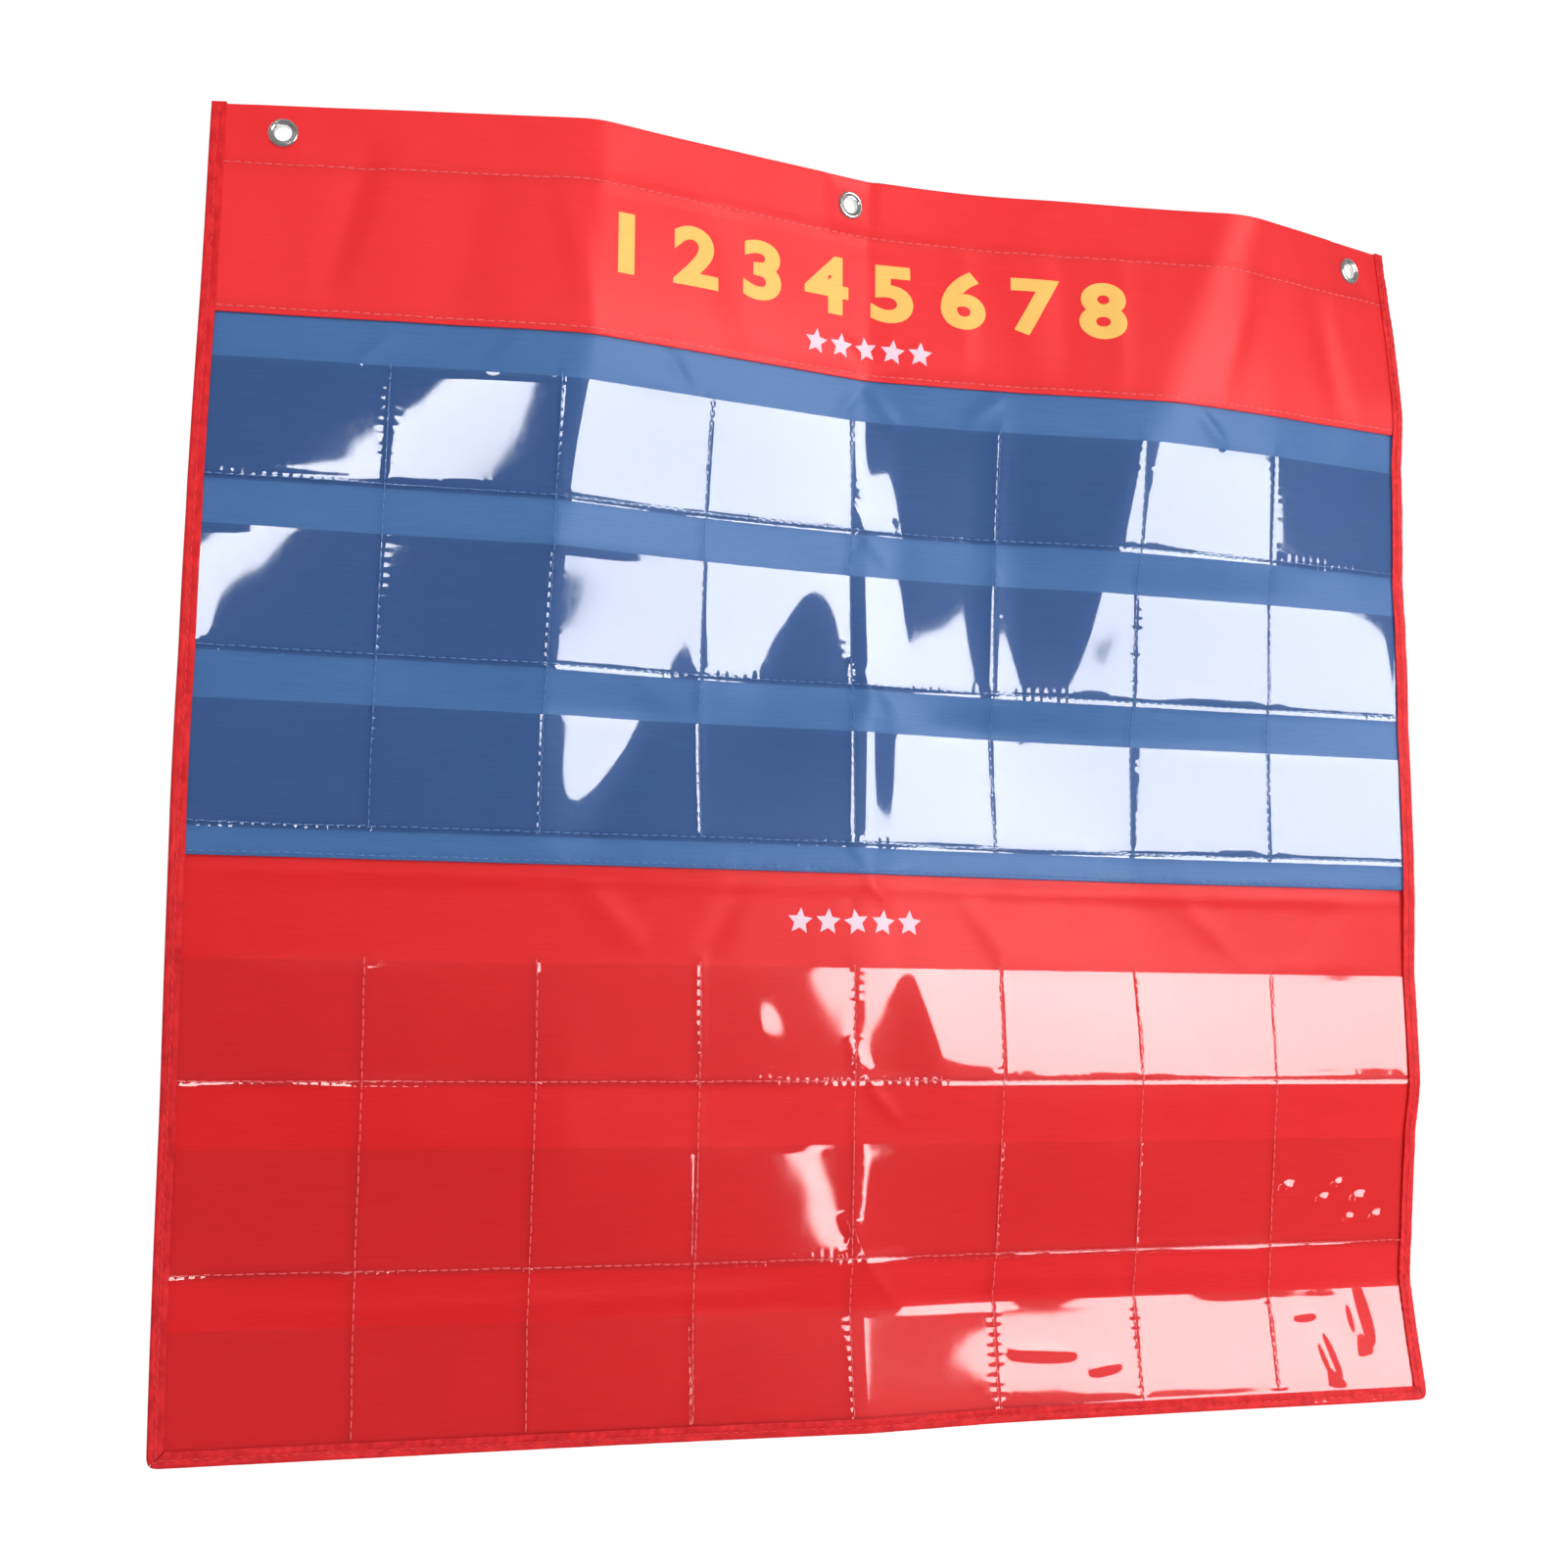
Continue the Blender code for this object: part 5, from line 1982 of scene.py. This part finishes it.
    def build(self) -> None:
        """Makes the tapes and the stitches that hold them."""
        shop, sizes = self.shop, self.shop.sizes
        material = self.tape.make()
        left, right = (self.side(edge, material) for edge in Edge)
        bottom = self.bottom(material)

        def front(across: Array, down: Array) -> Array:
            """The tape's front, where a stitch sinks in a little."""
            return sizes.stack_front(down) + sizes.gap + sizes.tape - self.sink

        back = at_height(-sizes.gap - sizes.tape + self.sink)
        stitching = Stitching(shop, self.thread.make(), self.slot)
        stitches = stitching.rows("edge_tape_stitches", self.seams(), front, back)


@dataclass
class Eyelets:
    """Three bright eyelets through the top hem, each set over a washer behind it."""

    shop: Workshop
    metal: NickelFinish
    hole: float = 0.0043
    wall: float = 0.0003
    rim: float = 0.0075
    crest: float = 0.0011
    curl_reach: float = 0.0016
    curl_height: float = 0.0008
    washer_rim: float = 0.0073
    washer: float = 0.0004
    washer_play: float = 0.00015
    washer_bite: float = 0.00008
    washer_ease: float = 0.00012

    def outline(self) -> list[Pair]:
        """The closed outline of an eyelet: domed rim, inner bevel, barrel and rolled curl.

        Returns:
            Points (radius, height above the back of the hem).
        """
        sizes = self.shop.sizes
        seat = sizes.step + sizes.cloth + sizes.gap
        barrel = self.hole + self.wall
        below = -(2 * sizes.gap + self.washer + 0.5 * self.wall)
        top = seat + self.crest
        outer = [
            (self.rim - 0.00010, seat - 0.00012),
            (self.rim, seat + 0.00012),
            (self.rim - 0.00008, seat + 0.00038),
            (self.rim - 0.00030, seat + 0.00070),
            (self.rim - 0.00062, seat + 0.00095),
            (self.rim - 0.00100, top),
            (self.rim - 0.00140, top - 0.00003),
            (self.rim - 0.00172, top - 0.00018),
            (self.rim - 0.00196, top - 0.00042),
            (barrel + 0.00034, seat + 0.00030),
            (barrel + 0.00012, seat + 0.00026),
            (barrel - 0.00012, seat + 0.00018),
            (self.hole, seat - 0.00012),
            (self.hole, seat - 0.00050),
            (self.hole, below + 0.00040),
            (self.hole + 0.00005, below - 0.00010),
            (self.hole + 0.00026, below - 0.62 * self.curl_height),
            (self.hole + 0.00062, below - self.curl_height),
            (self.hole + 0.00115, below - self.curl_height),
            (self.hole + 0.00162, below - 0.70 * self.curl_height),
            (self.hole + self.curl_reach + 0.0002, below - 0.18 * self.curl_height),
            (self.hole + self.curl_reach + 0.0002, below + 0.00008),
        ]
        inner = [
            (self.hole + self.curl_reach - 0.0001, below + 0.00008),
            (self.hole + 0.00140, below - 0.35 * self.curl_height),
            (self.hole + 0.00095, below - 0.55 * self.curl_height),
            (barrel + 0.00030, below - 0.30 * self.curl_height),
            (barrel, below + 0.00010),
            (barrel, seat - 0.00045),
            (barrel + 0.00012, seat - 0.00010),
            (barrel + 0.00060, seat + 0.00002),
            (self.rim - 0.00220, seat + 0.00014),
            (self.rim - 0.00180, seat + 0.00055),
            (self.rim - 0.00130, top - 0.00034),
            (self.rim - 0.00085, top - 0.00040),
            (self.rim - 0.00050, seat + 0.00040),
            (self.rim - 0.00036, seat - 0.00012),
        ]
        return outer + inner

    def washer_outline(self) -> list[Pair]:
        """The closed outline of a washer with eased edges.

        Returns:
            Points (radius, height above the back of the hem).
        """
        inner = self.hole + self.wall + self.washer_play
        front = self.washer_bite - self.shop.sizes.gap
        back = front - self.washer
        ease = self.washer_ease
        return [
            (inner + ease, front),
            (self.washer_rim - ease, front),
            (self.washer_rim, front - ease),
            (self.washer_rim, back + 2 * ease),
            (self.washer_rim - ease, back + 0.6 * ease),
            (self.washer_rim - 2 * ease, back),
            (inner + ease, back),
            (inner, back + ease),
            (inner, front - ease),
        ]

    def build(self) -> None:
        """Makes the three eyelets and their washers."""
        shop = self.shop
        metal = self.metal.make()
        for side, place in shop.sizes.eyelets.items():
            eyelet = shop.turned(f"{side}_eyelet_metal", self.outline(), place)
            shop.dress(eyelet, metal, "eyelet_metal", f"{side}_eyelet")
            washer = shop.turned(f"{side}_washer_metal", self.washer_outline(), place)
            shop.dress(washer, metal, "eyelet_metal", f"{side}_eyelet_washer")


@dataclass
class Print:
    """Generic print in the headings' places: plain numbers, and rows of small stars."""

    shop: Workshop
    bold: InkFinish
    fine: InkFinish
    thickness: float = 0.00006
    above_cloth: float = 0.00005
    cut: float = 0.0022
    boldness: float = 0.040
    digits_middle: Pair = (0.007, 0.061)
    digits_size: Pair = (0.296, 0.033)
    star_count: int = 5
    star_radius: float = 0.0070
    star_waist: float = 0.47
    star_spacing: float = 0.0155
    star_tilt: float = 0.16

    def star(self, across: float, down: float, tilt: float) -> list[Pair]:
        """A five-pointed star.

        Args:
            across: Its middle's place across.
            down: Its middle's distance down.
            tilt: How far it is turned.

        Returns:
            Its corners (across, down).
        """
        corners = []
        for number in range(10):
            reach = self.star_radius if number % 2 == 0 else self.star_waist * self.star_radius
            turn = tilt + math.pi * number / 5
            corners.append((across + reach * math.sin(turn), down - reach * math.cos(turn)))
        return corners

    def finish_flat(self, name: str, form: Form, front: Callable[[float], float]) -> Object:
        """Cuts a flat form into small faces, gives it thickness and hangs it.

        Args:
            name: The piece's name.
            form: Flat faces with x across and y down.
            front: Height of the cloth's front at a distance down.

        Returns:
            The printed piece.
        """
        bounds = np.array([vertex.co[:2] for vertex in form.verts])
        for axis in (0, 1):
            normal = (1.0, 0.0, 0.0) if axis == 0 else (0.0, 1.0, 0.0)
            low, high = bounds[:, axis].min(), bounds[:, axis].max()
            for place in even_steps(low, high, self.cut)[1:-1]:
                point = tuple(place * part for part in normal)
                geometry = form.verts[:] + form.edges[:] + form.faces[:]
                bmesh.ops.bisect_plane(form, geom=geometry, plane_co=point, plane_no=normal)
        bmesh.ops.triangulate(form, faces=form.faces)
        for vertex in form.verts:
            vertex.co = (vertex.co.x, front(vertex.co.y) + self.above_cloth, vertex.co.y)
        grown = bmesh.ops.extrude_face_region(form, geom=form.faces[:])
        for item in grown["geom"]:
            if isinstance(item, bmesh.types.BMVert):
                item.co.y += self.thickness
        piece = placed_form(name, form)
        self.shop.mark_grain(piece, self.shop.flat_points(piece)[:, (0, 2)])
        self.shop.hang(piece)
        return piece

    def numbers(self, name: str, digits: str, front: Callable[[float], float]) -> Object:
        """A row of plain numbers.

        Args:
            name: The piece's name.
            digits: The numbers.
            front: Height of the cloth's front at a distance down.

        Returns:
            The printed piece.
        """
        curve = bpy.data.curves.new(name + "_figures", "FONT")
        curve.body = digits
        curve.offset = self.boldness
        curve.resolution_u = 6
        text = placed(name + "_figures", curve)
        bpy.context.view_layer.update()
        mesh = bpy.data.meshes.new_from_object(text.evaluated_get(bpy.context.evaluated_depsgraph_get()))
        form = bmesh.new()
        form.from_mesh(mesh)
        bmesh.ops.remove_doubles(form, verts=form.verts, dist=0.0001)
        points = np.array([vertex.co[:2] for vertex in form.verts])
        low, high = points.min(axis=0), points.max(axis=0)
        (across, down), (width, height) = self.digits_middle, self.digits_size
        for vertex in form.verts:
            over = (vertex.co.x - 0.5 * (low[0] + high[0])) / (high[0] - low[0])
            rise = (vertex.co.y - 0.5 * (low[1] + high[1])) / (high[1] - low[1])
            vertex.co = (across + over * width, down - rise * height, 0.0)
        bpy.data.objects.remove(text)
        return self.finish_flat(name, form, front)

    def stars(self, name: str, first: float, down: float, front: Callable[[float], float]) -> Object:
        """A row of small stars, each tilted a little.

        Args:
            name: The piece's name.
            first: The first star's place across.
            down: The row's distance down.
            front: Height of the cloth's front at a distance down.

        Returns:
            The printed piece.
        """
        form = bmesh.new()
        for number in range(self.star_count):
            tilt = self.star_tilt * math.sin(2.1 * number + 0.6)
            corners = self.star(first + self.star_spacing * number, down, tilt)
            form.faces.new([form.verts.new((*corner, 0.0)) for corner in corners])
        bmesh.ops.triangulate(form, faces=form.faces)
        return self.finish_flat(name, form, front)

    def build(self) -> None:
        """Prints the header and the lower panel."""
        shop, sizes = self.shop, self.shop.sizes
        bold, fine = self.bold.make(), self.fine.make()

        def header_front(down: float) -> float:
            """Height of the header's front."""
            return float(sizes.header_back(down)) + sizes.cloth

        shop.dress(self.numbers("header_numbers", "1 2 3 4 5 6 7 8", header_front), bold, "header_cloth")
        shop.dress(self.stars("header_stars", -0.024, 0.093, header_front), fine, "header_cloth")
        shop.dress(self.stars("lower_stars", -0.030, 0.397, lambda down: sizes.cloth), fine, "lower_cloth")


@dataclass
class Studio:
    """A pale floor, a soft key light, even fill and the camera."""

    eye: Triple = (-0.4166, -1.1062, -0.4161)
    right: Triple = (0.9444, -0.3286, 0.0122)
    up: Triple = (-0.0408, -0.0803, 0.9959)
    lens: float = 52.247
    sensor: float = 36.0
    nearest: float = 0.01
    fill: float = 0.46
    fill_colour: Triple = (1.0, 0.99, 0.985)
    white: Triple = (1.0, 1.0, 1.0)
    key_radiance: float = 10.6
    key_fall: float = 0.80
    key_size: Pair = (0.88, 0.96)
    key_place: Triple = (1.208, -1.612, 0.12)
    key_aim: Triple = (0.0, 0.0, 0.12)
    small_size: Pair = (0.24, 0.26)
    small_place: Triple = (-0.34, -1.60, 0.06)
    small_aim: Triple = (-0.20, 0.0, -0.19)
    slim_size: Pair = (0.048, 0.30)
    slim_place: Triple = (0.607, -1.465, -0.79)
    slim_aim: Triple = (-0.03, 0.0, -0.53)
    lamp_size: float = 0.8
    right_lamp: Triple = (1.2, -0.8, -1.0)
    right_radiance: float = 4.9
    top_lamp: Triple = (-0.3, -1.1, 0.8)
    top_radiance: float = 5.5
    back_lamp: Triple = (0.9, 1.8, -0.25)
    back_radiance: float = 9.0
    lamp_aim: Triple = (0.0, 0.0, -0.3)
    wall_radius: float = 7.0
    wall_end: float = 0.5
    wall_lift: float = 0.02
    wall_colour: Triple = (0.95, 0.97, 1.0)
    wall_radiance: float = 0.10
    floor_drop: float = -1.45
    floor_radius: float = 30.0
    floor_colour: Triple = (0.90, 0.90, 0.90)
    floor_glow: float = 0.62

    def camera(self) -> None:
        """Sets the camera where the photograph was taken."""
        data = bpy.data.cameras.new("camera")
        data.lens = self.lens
        data.sensor_width = self.sensor
        data.clip_start = self.nearest
        camera = placed("camera", data)
        right, up = Vector(self.right).normalized(), Vector(self.up)
        back = right.cross(up).normalized()
        up = back.cross(right)
        turn = Matrix((right, up, back)).transposed().to_4x4()
        camera.matrix_world = Matrix.Translation(self.eye) @ turn
        bpy.context.scene.camera = camera

    def background_share(self, sketch: NodeSketch) -> Socket:
        """Which rays see the plain white background: camera, glossy and transmission rays.

        Args:
            sketch: The nodes of what is seen.

        Returns:
            1 for such a ray, else 0.
        """
        ray = sketch.add("ShaderNodeLightPath").outputs
        most = sketch.worked("MAXIMUM", ray["Is Camera Ray"], ray["Is Glossy Ray"])
        return sketch.worked("MAXIMUM", most, ray["Is Transmission Ray"])

    def world(self) -> None:
        """Even fill for the object, and white where the background is seen."""
        world = bpy.data.worlds.new("studio")
        bpy.context.scene.world = world
        sketch = NodeSketch("studio", world)
        fill = sketch.tree.nodes["Background"]
        sketch.feed(fill, Color=opaque(self.fill_colour), Strength=self.fill)
        white = sketch.feed(sketch.add("ShaderNodeBackground"), Color=opaque(self.white))
        both = sketch.add("ShaderNodeMixShader")
        sketch.feed(both, _0=self.background_share(sketch), _1=fill.outputs[0], _2=white.outputs[0])
        sketch.link(both.outputs[0], sketch.output.inputs["Surface"])

    def lamp(self, name: str, place: Triple, radiance: float) -> None:
        """A soft lamp that shades the cloth. Reflections don't show it.

        Args:
            name: What the lamp is called.
            place: Where its middle stands.
            radiance: How bright its face is.
        """
        data = bpy.data.lights.new(name, "AREA")
        data.shape = "SQUARE"
        data.size = self.lamp_size
        data.energy = radiance * math.pi * self.lamp_size**2
        light = placed(name, data)
        way = Vector(self.lamp_aim) - Vector(place)
        light.matrix_world = Matrix.Translation(place) @ way.to_track_quat("-Z", "Y").to_matrix().to_4x4()
        light.visible_glossy = False
        light.visible_camera = False

    def softbox(self, name: str, size: Pair, place: Triple, aim: Triple) -> None:
        """A bright panel that the clear strips, the sheen and the metal mirror.

        Args:
            name: What the panel is called.
            size: Its width and height.
            place: Where its middle stands.
            aim: The point that it faces.
        """
        form = bmesh.new()
        bmesh.ops.create_grid(form, x_segments=1, y_segments=1, size=0.5)
        panel = placed_form(name, form)
        way = Vector(aim) - Vector(place)
        turn = way.to_track_quat("-Z", "Y").to_matrix().to_4x4()
        panel.matrix_world = Matrix.Translation(place) @ turn @ Matrix.Diagonal((*size, 1.0, 1.0))
        sketch, light = self.glow(f"{name}_glow", self.white, self.key_radiance)
        along = sketch.add("ShaderNodeTexCoord").outputs["Generated"]
        rise = sketch.feed(sketch.add("ShaderNodeSeparateXYZ"), Vector=along).outputs["Y"]
        strength = sketch.spread(rise, self.key_fall * self.key_radiance, self.key_radiance, 0.0, 1.0)
        sketch.feed(light, Strength=strength)
        self.show_in_reflections_only(panel, sketch.material)

    def show_in_reflections_only(self, piece: Object, material: Material) -> None:
        """Dresses a piece of the studio and hides it from all but glossy rays.

        Args:
            piece: The piece.
            material: Its material.
        """
        piece.data.materials.append(material)
        for ray in ("camera", "diffuse", "shadow", "transmission", "volume_scatter"):
            setattr(piece, f"visible_{ray}", False)

    def glow(self, name: str, colour: Triple, strength: float) -> tuple[NodeSketch, bpy.types.Node]:
        """A plain glowing surface.

        Args:
            name: The material's name.
            colour: The light's colour.
            strength: How bright it is.

        Returns:
            The material's sketch and its light.
        """
        sketch = NodeSketch(name)
        sketch.tree.nodes.remove(sketch.shader)
        light = sketch.feed(sketch.add("ShaderNodeEmission"), Color=opaque(colour), Strength=strength)
        sketch.link(light.outputs[0], sketch.output.inputs["Surface"])
        return sketch, light

    def wall(self) -> None:
        """The dim studio on the viewer's side, which only reflections see."""
        form = bmesh.new()
        bmesh.ops.create_uvsphere(form, u_segments=48, v_segments=24, radius=self.wall_radius)
        behind = [face for face in form.faces if face.calc_center_median().y > self.wall_end]
        bmesh.ops.delete(form, geom=behind, context="FACES")
        for vertex in form.verts:
            vertex.co.z = max(vertex.co.z, self.floor_drop + self.wall_lift)
        wall = placed_form("studio_wall", form)
        sketch, _ = self.glow("dim_wall", self.wall_colour, self.wall_radiance)
        self.show_in_reflections_only(wall, sketch.material)

    def floor(self) -> None:
        """A pale floor well below the chart that keeps its shadow."""
        form = bmesh.new()
        bmesh.ops.create_circle(form, cap_ends=True, segments=64, radius=self.floor_radius)
        floor = placed_form("floor", form)
        floor.location = (0.0, 0.0, self.floor_drop)
        sketch = NodeSketch("pale_floor")
        sketch.feed(sketch.shader, Base_Color=opaque(self.floor_colour), Roughness=0.8)
        seen = sketch.worked("MULTIPLY", self.background_share(sketch), self.floor_glow)
        light = sketch.feed(sketch.add("ShaderNodeEmission"), Strength=seen)
        both = sketch.add("ShaderNodeAddShader")
        sketch.feed(both, _0=sketch.shader.outputs[0], _1=light.outputs[0])
        sketch.link(both.outputs[0], sketch.output.inputs["Surface"])
        floor.data.materials.append(sketch.material)

    def build(self) -> None:
        """Sets up the camera, the lights and the floor."""
        self.camera()
        self.world()
        self.lamp("right_lamp", self.right_lamp, self.right_radiance)
        self.lamp("top_lamp", self.top_lamp, self.top_radiance)
        self.lamp("back_lamp", self.back_lamp, self.back_radiance)
        self.softbox("softbox", self.key_size, self.key_place, self.key_aim)
        self.softbox("small_softbox", self.small_size, self.small_place, self.small_aim)
        self.softbox("slim_softbox", self.slim_size, self.slim_place, self.slim_aim)
        self.wall()
        self.floor()
        bpy.context.scene.view_settings.view_transform = "Standard"


class PocketChart:
    """The whole chart, piece by piece."""

    pocket_shapes = {
        (1, 2): PocketShape(0.8),
        (1, 6): PocketShape(0.8),
    }
    dents = {
        4: (Wrinkle((-0.062, 0.010), (-0.046, 0.054), 0.0100, 0.0007),),
        5: (
            Wrinkle((0.2530, 0.0275), (0.2680, 0.0275), 0.0042, 0.0016),
            Wrinkle((0.2880, 0.0280), (0.2980, 0.0245), 0.0038, 0.0014),
            Wrinkle((0.2780, 0.0345), (0.2900, 0.0340), 0.0038, 0.0013),
            Wrinkle((0.3000, 0.0345), (0.3150, 0.0335), 0.0042, 0.0016),
            Wrinkle((0.2960, 0.0455), (0.3070, 0.0450), 0.0036, 0.0012),
            Wrinkle((0.3130, 0.0450), (0.3250, 0.0435), 0.0038, 0.0013),
            Wrinkle((0.3240, 0.0360), (0.3340, 0.0280), 0.0050, 0.0014),
        ),
        6: (
            Wrinkle((0.0880, 0.0240), (0.1320, 0.0270), 0.0032, 0.0007),
            Wrinkle((0.1350, 0.0360), (0.1580, 0.0330), 0.0030, 0.0005),
            Wrinkle((0.2620, 0.0130), (0.2800, 0.0120), 0.0030, 0.0005),
            Wrinkle((0.2770, 0.0190), (0.2900, 0.0570), 0.0036, 0.0009),
            Wrinkle((0.3000, -0.0040), (0.3080, 0.0360), 0.0060, 0.0014),
        ),
    }

    def __init__(self) -> None:
        """Sets the sizes, the drape and the finishes."""
        self.sizes = ChartSizes()
        self.drape = Drape(self.sizes)
        self.shop = Workshop(self.sizes, self.drape, SeamPlan(self.sizes))
        self.red = NylonFinish("red_nylon", (0.94, 0.026, 0.032), (0.98, 0.032, 0.038))
        self.deep_red = NylonFinish("deep_red_nylon", (0.82, 0.010, 0.015), (0.89, 0.015, 0.020))
        self.blue = NylonFinish("blue_nylon", (0.057, 0.155, 0.390), (0.071, 0.186, 0.450))
        self.red_thread = ThreadFinish("red_thread", (1.0, 0.175, 0.18))
        self.tape_thread = ThreadFinish("tape_thread", (0.93, 0.045, 0.050))
        self.blue_thread = ThreadFinish("blue_thread", (0.110, 0.270, 0.62))
        self.tape = TapeFinish("red_tape", (0.76, 0.011, 0.017), (0.90, 0.022, 0.028))
        self.vinyl = {
            Panel.UPPER: VinylFinish("clear_vinyl_over_blue", (0.902, 0.914, 0.944)),
            Panel.LOWER: VinylFinish("clear_vinyl_over_red", (1.0, 0.96, 0.96), 0.036),
        }

    def strip(self, panel: Panel, number: int) -> PocketStrip:
        """One of a panel's three strips.

        Args:
            panel: Which panel.
            number: Which strip, counted from 0 at the top.

        Returns:
            The strip, not yet built.
        """
        row = number + (1 if panel is Panel.UPPER else 4)
        shapes = tuple(self.pocket_shapes.get((row, cell), PocketShape()) for cell in range(1, 9))
        return PocketStrip(self.shop, panel, number, shapes, self.dents.get(row, ()))

    def build(self) -> None:
        """Builds the eyelets, panels, strips, bindings and print in order."""
        shop = self.shop
        Eyelets(shop, NickelFinish("nickel_plate")).build()
        HeaderPanel(shop, self.red, self.red_thread).build()
        PocketPanel(shop, Panel.UPPER, self.blue, self.blue_thread, "upper_cloth").build()
        PocketPanel(shop, Panel.LOWER, self.deep_red, self.red_thread, "lower_cloth").build()
        for panel in Panel:
            vinyl = self.vinyl[panel].make()
            for number in range(3):
                self.strip(panel, number).build(vinyl)
        Bindings(shop, self.tape, self.tape_thread).build()
        yellow = InkFinish("yellow_ink", (1.0, 0.60, 0.14), (0.98, 0.48, 0.12))
        white = InkFinish("pale_ink", (0.93, 0.72, 0.84), (0.92, 0.52, 0.60))
        Print(shop, yellow, white).build()


def main() -> None:
    """Builds the chart and its studio, and reports each piece."""
    logging.basicConfig(level=logging.INFO, format="%(message)s")
    PocketChart().build()
    Studio().build()


if __name__ == "__main__":
    main()
